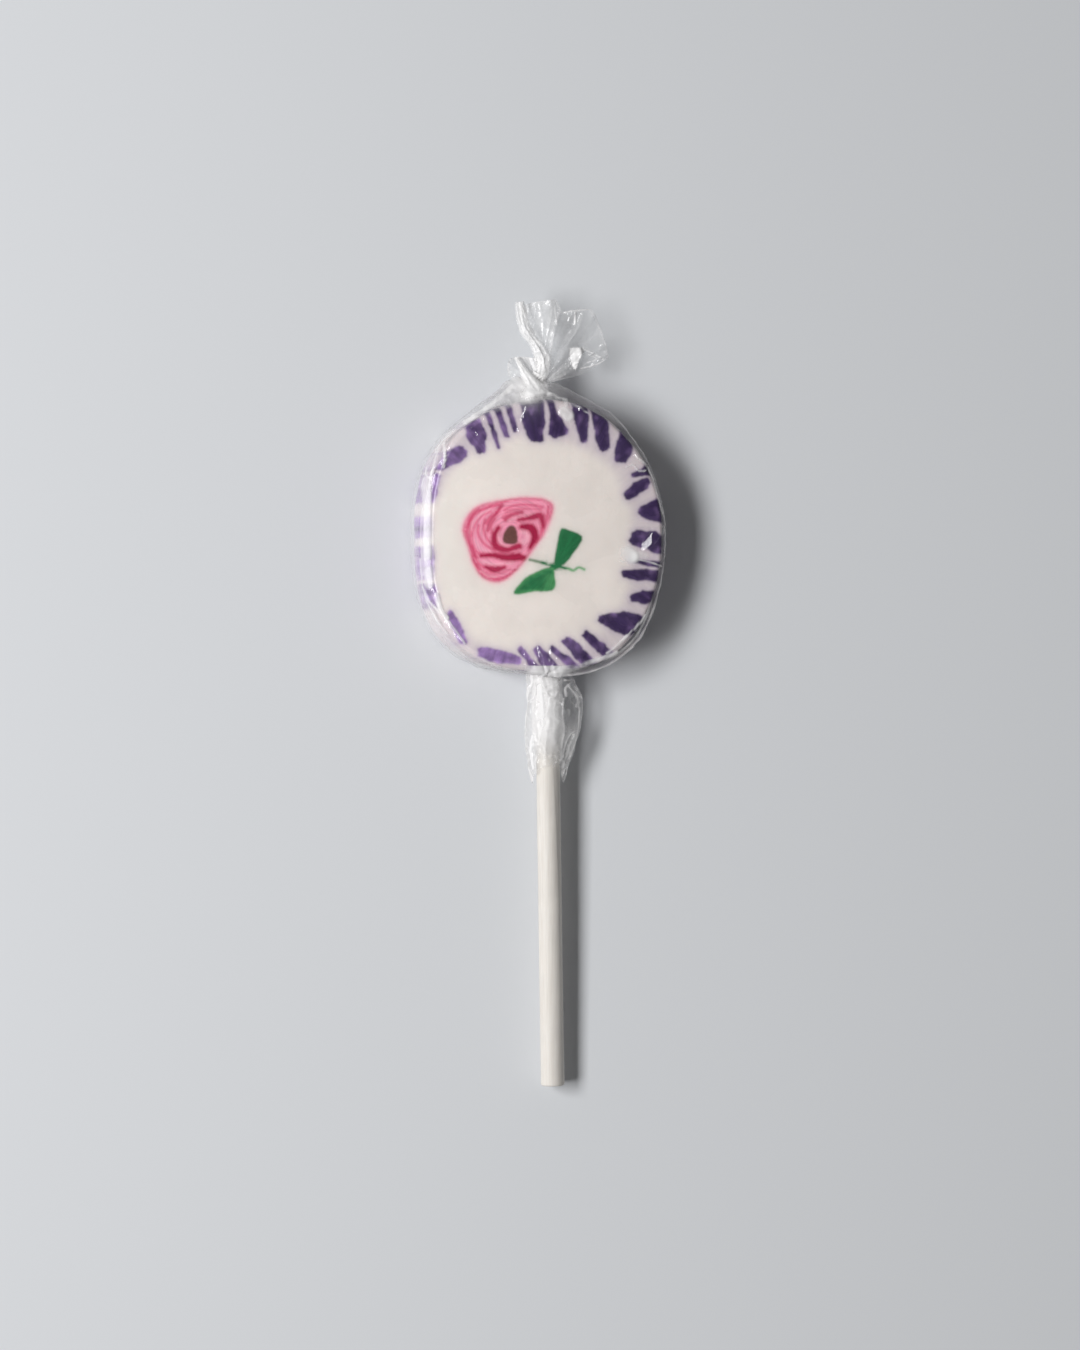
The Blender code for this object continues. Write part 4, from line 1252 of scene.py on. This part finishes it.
def skirt_sheet():
    """The loose outer sheet: its points, its cloudiness and how much it shines."""
    rows, columns = 110, 220
    turn = around(columns)
    ragged = ragged_hem(columns, ((0.8, 2.2, 21), (0.4, 6.0, 22)))
    # The hem is lowest at the left and at the right, and rises over the stick.
    y = hem(*SKIRT_REACH, rows, ragged + 3.0 * np.sin(turn) ** 2 - 0.6)
    table = catmull_rom(SKIRT, steps=10)
    x, z, width, depth = (np.interp(-y, -table[:, 0], table[:, k]) for k in (1, 2, 3, 4))
    middle = np.stack([x, y, z], 2)
    surface = np.stack([x + width * np.cos(turn), y, z + depth * np.sin(turn)], 2)
    normal = grid_normals(surface, True)
    outward = np.sign((normal * (surface - middle)).sum(2, keepdims=True))
    normal = normal * np.where(outward == 0, 1, outward)
    pleats = np.stack([np.cos(turn) * 1.6 + 0 * y, np.sin(turn) * 1.6 + 0 * y, y / 14], 2)
    height = 0.3 * creases_at(pleats, 1.0, 23) - 0.18 + 0.10 * creases_at(surface, 2.6, 24)
    height += 0.05 * creases_at(surface, 1.2, 28)
    crumpled = np.exp(-((y + 26.5) / 3.0) ** 2) + 0.6 * np.exp(-((y + 37.5) / 2.5) ** 2)
    height += 0.2 * crumpled * creases_at(surface, 1.3, 25)
    folds = folds_and_glints_at(surface, SKIRT_FOLDS_AND_GLINTS) * (np.sin(turn) > -0.25)
    surface = surface + normal * (height + 0.12 * folds)[..., None]
    # It never cuts into the stick.
    axis_x, axis_z = stick_axis(y)
    dx, dz = surface[..., 0] - axis_x, surface[..., 2] - axis_z
    least = SKIRT_LEAST + 0.10 * creases_at(surface, 1.0, 26)
    push = np.maximum(least / np.maximum(np.sqrt(dx**2 + dz**2), 1e-6), 1.0)
    surface[..., 0] = axis_x + dx * push
    surface[..., 2] = np.maximum(axis_z + dz * push, 0.3)
    # It is cloudy where it lies over the stick and at its left and lower right edges.
    aside = surface[..., 0] - axis_x
    over_stick = np.exp(-((aside / 2.1) ** 4))
    sparkle = creases_at(surface, 1.6, 27) ** 4
    cloud = 0.06 + 0.2 * sparkle * (0.4 + crumpled)
    cloud += 0.4 * over_stick * smoothstep(-40, -34, y)
    cloud += 0.28 * smoothstep(-1.4, -2.4, aside)
    cloud += 0.22 * smoothstep(1.6, 2.4, aside) * smoothstep(-29.5, -33.5, y)
    cloud = np.clip(np.maximum(cloud, folds), 0, THICKEST_CLOUD)
    return surface, cloud, 1 - 0.75 * over_stick, True


def sleeve_sheet():
    """The inner sheet, wound tight round the stick."""
    rows, columns = 90, 140
    turn = around(columns)
    drop = ragged_hem(columns, ((2.2, 2.0, 31), (0.6, 5.0, 34)))
    y = hem(*SLEEVE_REACH, rows, drop)
    table = np.array(SLEEVE)
    radius = np.interp(-y, -table[:, 0], table[:, 1])
    pleats = np.stack([np.cos(turn) + 0 * y, np.sin(turn) + 0 * y, y / 11], 2)
    uneven = 0.12 * noise_at(pleats * 1.3, 1.0, 32) + 0.07 * creases_at(pleats * 2, 1.0, 35)
    uneven += 0.05 * creases_at(pleats * (3.5, 3.5, 2.0), 1.0, 33)
    radius = np.maximum(radius + uneven * smoothstep(-38.5, -34.0, y), SLEEVE_LEAST)
    axis_x, axis_z = stick_axis(y)
    sheet = np.stack([axis_x + radius * np.cos(turn), y, axis_z + radius * np.sin(turn)], 2)
    cloud = 0.03 + 0.82 * smoothstep(-38.5, -32.5, y + 1.5 * noise_at(sheet, 2.5, 36))
    return sheet, cloud, 0.2, True


def film_skirt():
    """The film gathered round the stick below the candy."""
    film_piece("film_skirt", [skirt_sheet(), sleeve_sheet()])


# The twist above the candy. Its root is on the neck, and its reach is given in each direction,
# in degrees from +X.
FAN_ROOT = (-0.95, 25.15, 7.0)
PANEL_REACH = (
    (14, 6.5), (22, 12.2), (38, 13.2), (56, 15.2), (74, 12.6), (80, 14.4), (96, 13.9), (104, 13.4),
)
LOBE_REACH = (
    (92, 4.2), (106, 4.7), (119, 5.3), (133, 6.3), (141, 6.7), (150, 6.5), (164, 5.6), (172, 4.2),
)
FAN_FACETS = (
    ((4.9, 29.6), 4.0, 2.2, 80, 1.0),
    ((4.8, 36.5), 2.4, 0.35, 96, 1.0),
    ((8.2, 29.0), 2.4, 0.5, 35, 1.0),
)
# A patch of the panel painted white as a highlight, over the facet that mirrors the light, and the
# folds in the panel, which are partly painted highlights
PAINTED_GLINT_PATCH = (
    (3.8, 31.3), (6.1, 31.45), (6.4, 31.0), (5.4, 29.2), (4.9, 27.5), (4.25, 28.3), (3.9, 29.75),
)
PANEL_FOLDS_AND_GLINTS = (
    (((4.95, 37.7), (4.8, 36.5), (4.7, 35.4)), 0.3, 0.95),
    (((2.0, 37.2), (4.0, 37.45), (7.1, 37.8)), 0.3, 0.5),
    (((-1.8, 37.9), (-0.2, 38.6), (1.1, 39.3), (1.5, 37.3), (1.7, 35.4)), 0.35, 0.5),
    (((6.5, 31.0), (8.2, 30.2), (9.6, 29.2), (7.8, 28.4), (5.7, 27.9)), 0.26, 0.65),
    (((6.9, 30.3), (8.4, 29.5), (6.9, 28.9)), 0.22, 0.5),
    (((1.2, 35.6), (0.9, 32.6), (0.6, 29.6), (-0.2, 27.2)), 0.5, 0.35),
    (((7.6, 36.9), (8.9, 34.6), (10.1, 31.4)), 0.22, 0.35),
)
# The gathered folds, as points along the middle with the half width at each
STALK = (
    (-1.7, 25.2, 7.2, 0.95), (-0.9, 26.4, 7.5, 1.05), (-0.45, 28.0, 7.9, 1.2),
    (-0.55, 29.5, 8.1, 1.3), (-1.4, 31.2, 8.3, 1.2), (-2.4, 32.6, 8.4, 1.05),
    (-3.4, 34.1, 8.5, 1.1), (-3.95, 35.8, 8.5, 1.05), (-4.35, 37.9, 8.3, 0.9),
    (-4.5, 38.9, 8.2, 0.75),
)
KNOT_FOLD = (
    (-5.2, 29.7, 8.1, 0.28), (-4.5, 28.6, 8.2, 0.45), (-3.7, 27.2, 8.3, 0.7),
    (-2.8, 25.7, 8.7, 1.25), (-2.3, 24.6, 9.3, 1.9), (-2.1, 23.6, 9.9, 2.3),
    (-1.9, 22.7, 10.3, 1.8),
)
# The neck's axis; film_neck sets its radius at the two ends and at the waist
NECK_AXIS = ((-1.1, 26.8, 7.4), (-3.2, 23.3, 7.4))


def fan_sheet(reach, start, rows, columns, seed, tilt=0.0, calm=0.0):
    """A thin sheet that spreads from the neck and rises and falls in pleats, which are lower by
    the share calm where it stands upright."""
    first, last = reach[0][0], reach[-1][0]
    degrees = np.linspace(first, last, columns)
    turn = np.radians(degrees)
    far = np.interp(degrees, *zip(*reach))
    edge = np.stack([turn * 9, np.zeros(columns), np.full(columns, seed)], 1)
    far = far * (1 + 0.02 * noise_at(edge, 1.0, seed))
    part = np.linspace(0, 1, rows)[:, None]
    away = start + (far - start)[None] * part
    pleats = np.stack([turn[None] * 4.5 + 0 * away, away / 12, 0 * away + seed], 2)
    wave = 0.15 * noise_at(pleats, 1.0, seed + 0.5) + 0.04 * creases_at(pleats * 1.6, 1.0, seed + 1)
    wave = wave * (1 - calm * smoothstep(70, 80, degrees))
    z = FAN_ROOT[2] + away * (wave + tilt)
    x = FAN_ROOT[0] + away * np.cos(turn)
    y = FAN_ROOT[1] + away * np.sin(turn)
    surface = np.stack([x, y, z], 2)
    crumple = layered(creases_at, surface, ((0.18, 2.6, seed + 2), (0.06, 1.0, seed + 3)))
    surface[..., 2] += (crumple - 0.06) * smoothstep(0, 3, away)
    return surface, away


def gathered_band(middle, columns, seed, relief):
    """A soft, crumpled band of gathered film along a path; relief is how boldly it is folded."""
    path = catmull_rom(middle, steps=12)
    across = np.linspace(-1, 1, columns)
    way = np.gradient(path[:, :2], axis=0)
    side = np.stack([way[:, 1], -way[:, 0]], 1)
    side /= np.linalg.norm(side, axis=1)[:, None]
    ragged = 1 + 0.16 * noise_at(np.column_stack([path[:, :2], path[:, 0] * 0]), 1.6, seed)
    half = path[:, 3] * ragged
    flat = path[:, None, :2] + side[:, None] * (half[:, None] * across)[..., None]
    crown = 0.9 * relief * half[:, None] * (1 - across**2) - 0.2
    band = np.concatenate([flat, (path[:, 2][:, None] + crown)[..., None]], 2)
    long_folds = np.stack([across[None] * 1.5 + 0 * crown, band[..., 1] / 4.5, 0 * crown], 2)
    bold = relief * half[:, None]
    band[..., 2] += 0.3 * bold * noise_at(long_folds * 1.6, 1.0, seed + 1)
    band[..., 2] += 0.15 * bold * creases_at(long_folds * 1.1, 1.0, seed + 2)
    band[..., 2] += 0.2 * relief * creases_at(band, 0.8, seed + 3)
    band[..., 2] += 0.1 * relief * creases_at(band, 0.4, seed + 4)
    return band


def film_neck():
    """The knot where the film is gathered, widest where it opens over the candy."""
    rows, columns = 44, 90
    start, end = (np.array(place) for place in NECK_AXIS)
    way = (end - start) / np.linalg.norm(end - start)
    side = np.cross(way, (0, 0, 1.0))
    turn = around(columns)
    part = np.linspace(0, 1, rows)[:, None] + 0 * turn
    twisted = turn + part * 1.6
    grooves = np.stack([np.cos(twisted) * 1.7, np.sin(twisted) * 1.7, part * 0.7], 2)
    waist = np.abs(part - 0.35) / 0.65
    radius = 1.05 + 0.75 * waist**1.5 + 0.15 * creases_at(grooves, 1.0, 71)
    radius = radius + 0.1 * creases_at(grooves * 2.6, 1.0, 72) - 0.15
    loop = np.cos(turn)[:, None] * side + np.sin(turn)[:, None] * np.array((0, 0, 0.45))
    neck = start + part[..., None] * (end - start) + radius[..., None] * loop[None]
    return neck, 0.9 - 0.25 * smoothstep(0.6, 1.0, part)


def fan_turn(sheet):
    """The direction of each point from the fan's root, in degrees from +X."""
    return np.degrees(np.arctan2(sheet[..., 1] - FAN_ROOT[1], sheet[..., 0] - FAN_ROOT[0]))


def along_rows(sheet):
    return np.linspace(0, 1, sheet.shape[0])[:, None]


def film_twist():
    """The twist above the candy: its panel, its lobe, the gathered stalk and the knot."""
    panel, away = fan_sheet(PANEL_REACH, 0.6, 90, 190, 41, tilt=-0.02, calm=0.6)
    panel[..., 2] += facet_heights(panel, FAN_FACETS)
    folds = folds_and_glints_at(panel, PANEL_FOLDS_AND_GLINTS)
    panel[..., 2] += 0.1 * folds
    # The patch is painted white as a highlight where the panel's facet catches the light.
    patch = signed_distance(panel[..., :2].reshape(-1, 2), np.array(PAINTED_GLINT_PATCH))
    patch = 0.85 * inside(patch.reshape(away.shape), 0.15)
    # The upright half of the panel is folded double and cloudier.
    cloud = 0.08 + 0.2 * smoothstep(72, 80, fan_turn(panel)) + 0.5 * fading(away, 1.0, 1.8)
    cloud += 0.12 * smoothstep(0.94, 1.0, along_rows(panel)) + 0.1 * creases_at(panel, 2.0, 45) ** 2
    cloud = np.maximum(cloud, np.maximum(folds, patch))

    lobe, away = fan_sheet(LOBE_REACH, 0.6, 50, 110, 51, tilt=0.02)
    lobe_cloud = 0.14 + 0.42 * (1 - smoothstep(128, 138, fan_turn(lobe)))
    lobe_cloud += 0.5 * fading(away, 1.0, 2.0) + 0.3 * smoothstep(0.88, 1.0, along_rows(lobe))

    stalk = gathered_band(STALK, 48, 61, relief=0.5)
    stalk_cloud = 0.5 + 0.2 * np.abs(2 * along_rows(stalk) - 1) + 0.3 * noise_at(stalk, 1.1, 66)
    stalk_cloud += 0.3 * creases_at(stalk * (1.6, 0.6, 1.0), 0.9, 65)
    stalk_cloud = stalk_cloud * (1 - 0.9 * np.abs(np.linspace(-1, 1, stalk.shape[1])) ** 3)
    knot = gathered_band(KNOT_FOLD, 40, 67, relief=0.3)
    across = np.abs(np.linspace(-1, 1, knot.shape[1]))
    opening = smoothstep(0.85, 1.0, along_rows(knot))
    knot_cloud = 0.95 * (1 - 0.9 * across**3) * (1 - 0.9 * opening)
    neck, neck_cloud = film_neck()
    film_piece("film_twist", [
        (panel, np.clip(cloud, 0, THICKEST_CLOUD), 1.0, False),
        (lobe, np.clip(lobe_cloud, 0, THICKEST_CLOUD), 1.0, False),
        (stalk, np.clip(stalk_cloud, 0, 0.96), 0.5, False),
        (knot, knot_cloud, 0.5, False),
        (neck, neck_cloud, 0.5, True),
    ])


# The scene

CAMERA_HEIGHT = 0.7  # metres above the floor
FRAME_HEIGHT = 0.2278  # metres of the table from the top of the picture to its bottom
FRAME_MIDDLE = (-1.08, -23.3)
SENSOR = 36.0
KEY_ELEVATION = math.radians(53)
KEY_DISTANCE = 0.9
KEY_SIZE = (0.26, 0.6)
KEY_WATTS = 8.1
FILL_LOW = 0.21  # the light that comes from low all round
FILL_OVERHEAD = 0.08  # dim, so that flat film doesn't veil what lies under it
FILL_HEIGHTS = (0.35, 0.95)  # where the one goes over into the other: 0 is level, 1 is overhead
KEY_AIM = (0, -10, 0)
FLOOR_REACH = 2
FILM_SHEETS = 32  # how many sheets of film can be seen through


def camera():
    data = bpy.data.cameras.new("camera")
    data.sensor_fit = "VERTICAL"
    data.sensor_height = SENSOR
    data.lens = SENSOR * CAMERA_HEIGHT / FRAME_HEIGHT
    made = bpy.data.objects.new("camera", data)
    made.location = (*world((*FRAME_MIDDLE, 0))[:2], CAMERA_HEIGHT)
    bpy.context.scene.collection.objects.link(made)
    bpy.context.scene.camera = made


def lights():
    data = bpy.data.lights.new("key", "AREA")
    data.shape = "RECTANGLE"
    data.size, data.size_y = KEY_SIZE
    data.energy = KEY_WATTS
    made = bpy.data.objects.new("key", data)
    middle = Vector(world(KEY_AIM))
    way = Vector((-math.cos(KEY_ELEVATION), 0, math.sin(KEY_ELEVATION)))
    made.location = middle + way * KEY_DISTANCE
    made.rotation_euler = (0, -(math.pi / 2 - KEY_ELEVATION), 0)
    bpy.context.scene.collection.objects.link(made)
    surroundings = bpy.data.worlds.new("surroundings")
    surroundings.use_nodes = True
    add = node_adder(surroundings.node_tree)
    place = add("ShaderNodeTexCoord").outputs["Generated"]
    height = add("ShaderNodeSeparateXYZ", {0: place}).outputs["Z"]
    strength = spread(add, height, FILL_LOW, FILL_OVERHEAD, FILL_HEIGHTS)
    sky = add("ShaderNodeBackground", {"Strength": strength}, values={"Color": (1, 1, 1, 1)})
    add("ShaderNodeOutputWorld", {"Surface": sky.outputs[0]})
    bpy.context.scene.world = surroundings


def floor():
    mesh = bpy.data.meshes.new("floor")
    corners = [(x * FLOOR_REACH, y * FLOOR_REACH, 0.0)
               for x, y in ((-1, -1), (1, -1), (1, 1), (-1, 1))]
    mesh.from_pydata(corners, [], [(0, 1, 2, 3)])
    made = bpy.data.objects.new("floor", mesh)
    made.data.materials.append(floor_material())
    bpy.context.scene.collection.objects.link(made)


FILM = film_material()
camera()
lights()
floor()
candy()
stick()
film_body()
film_skirt()
film_twist()
scene = bpy.context.scene
scene.view_settings.view_transform = "Standard"
scene.cycles.transparent_max_bounces = FILM_SHEETS
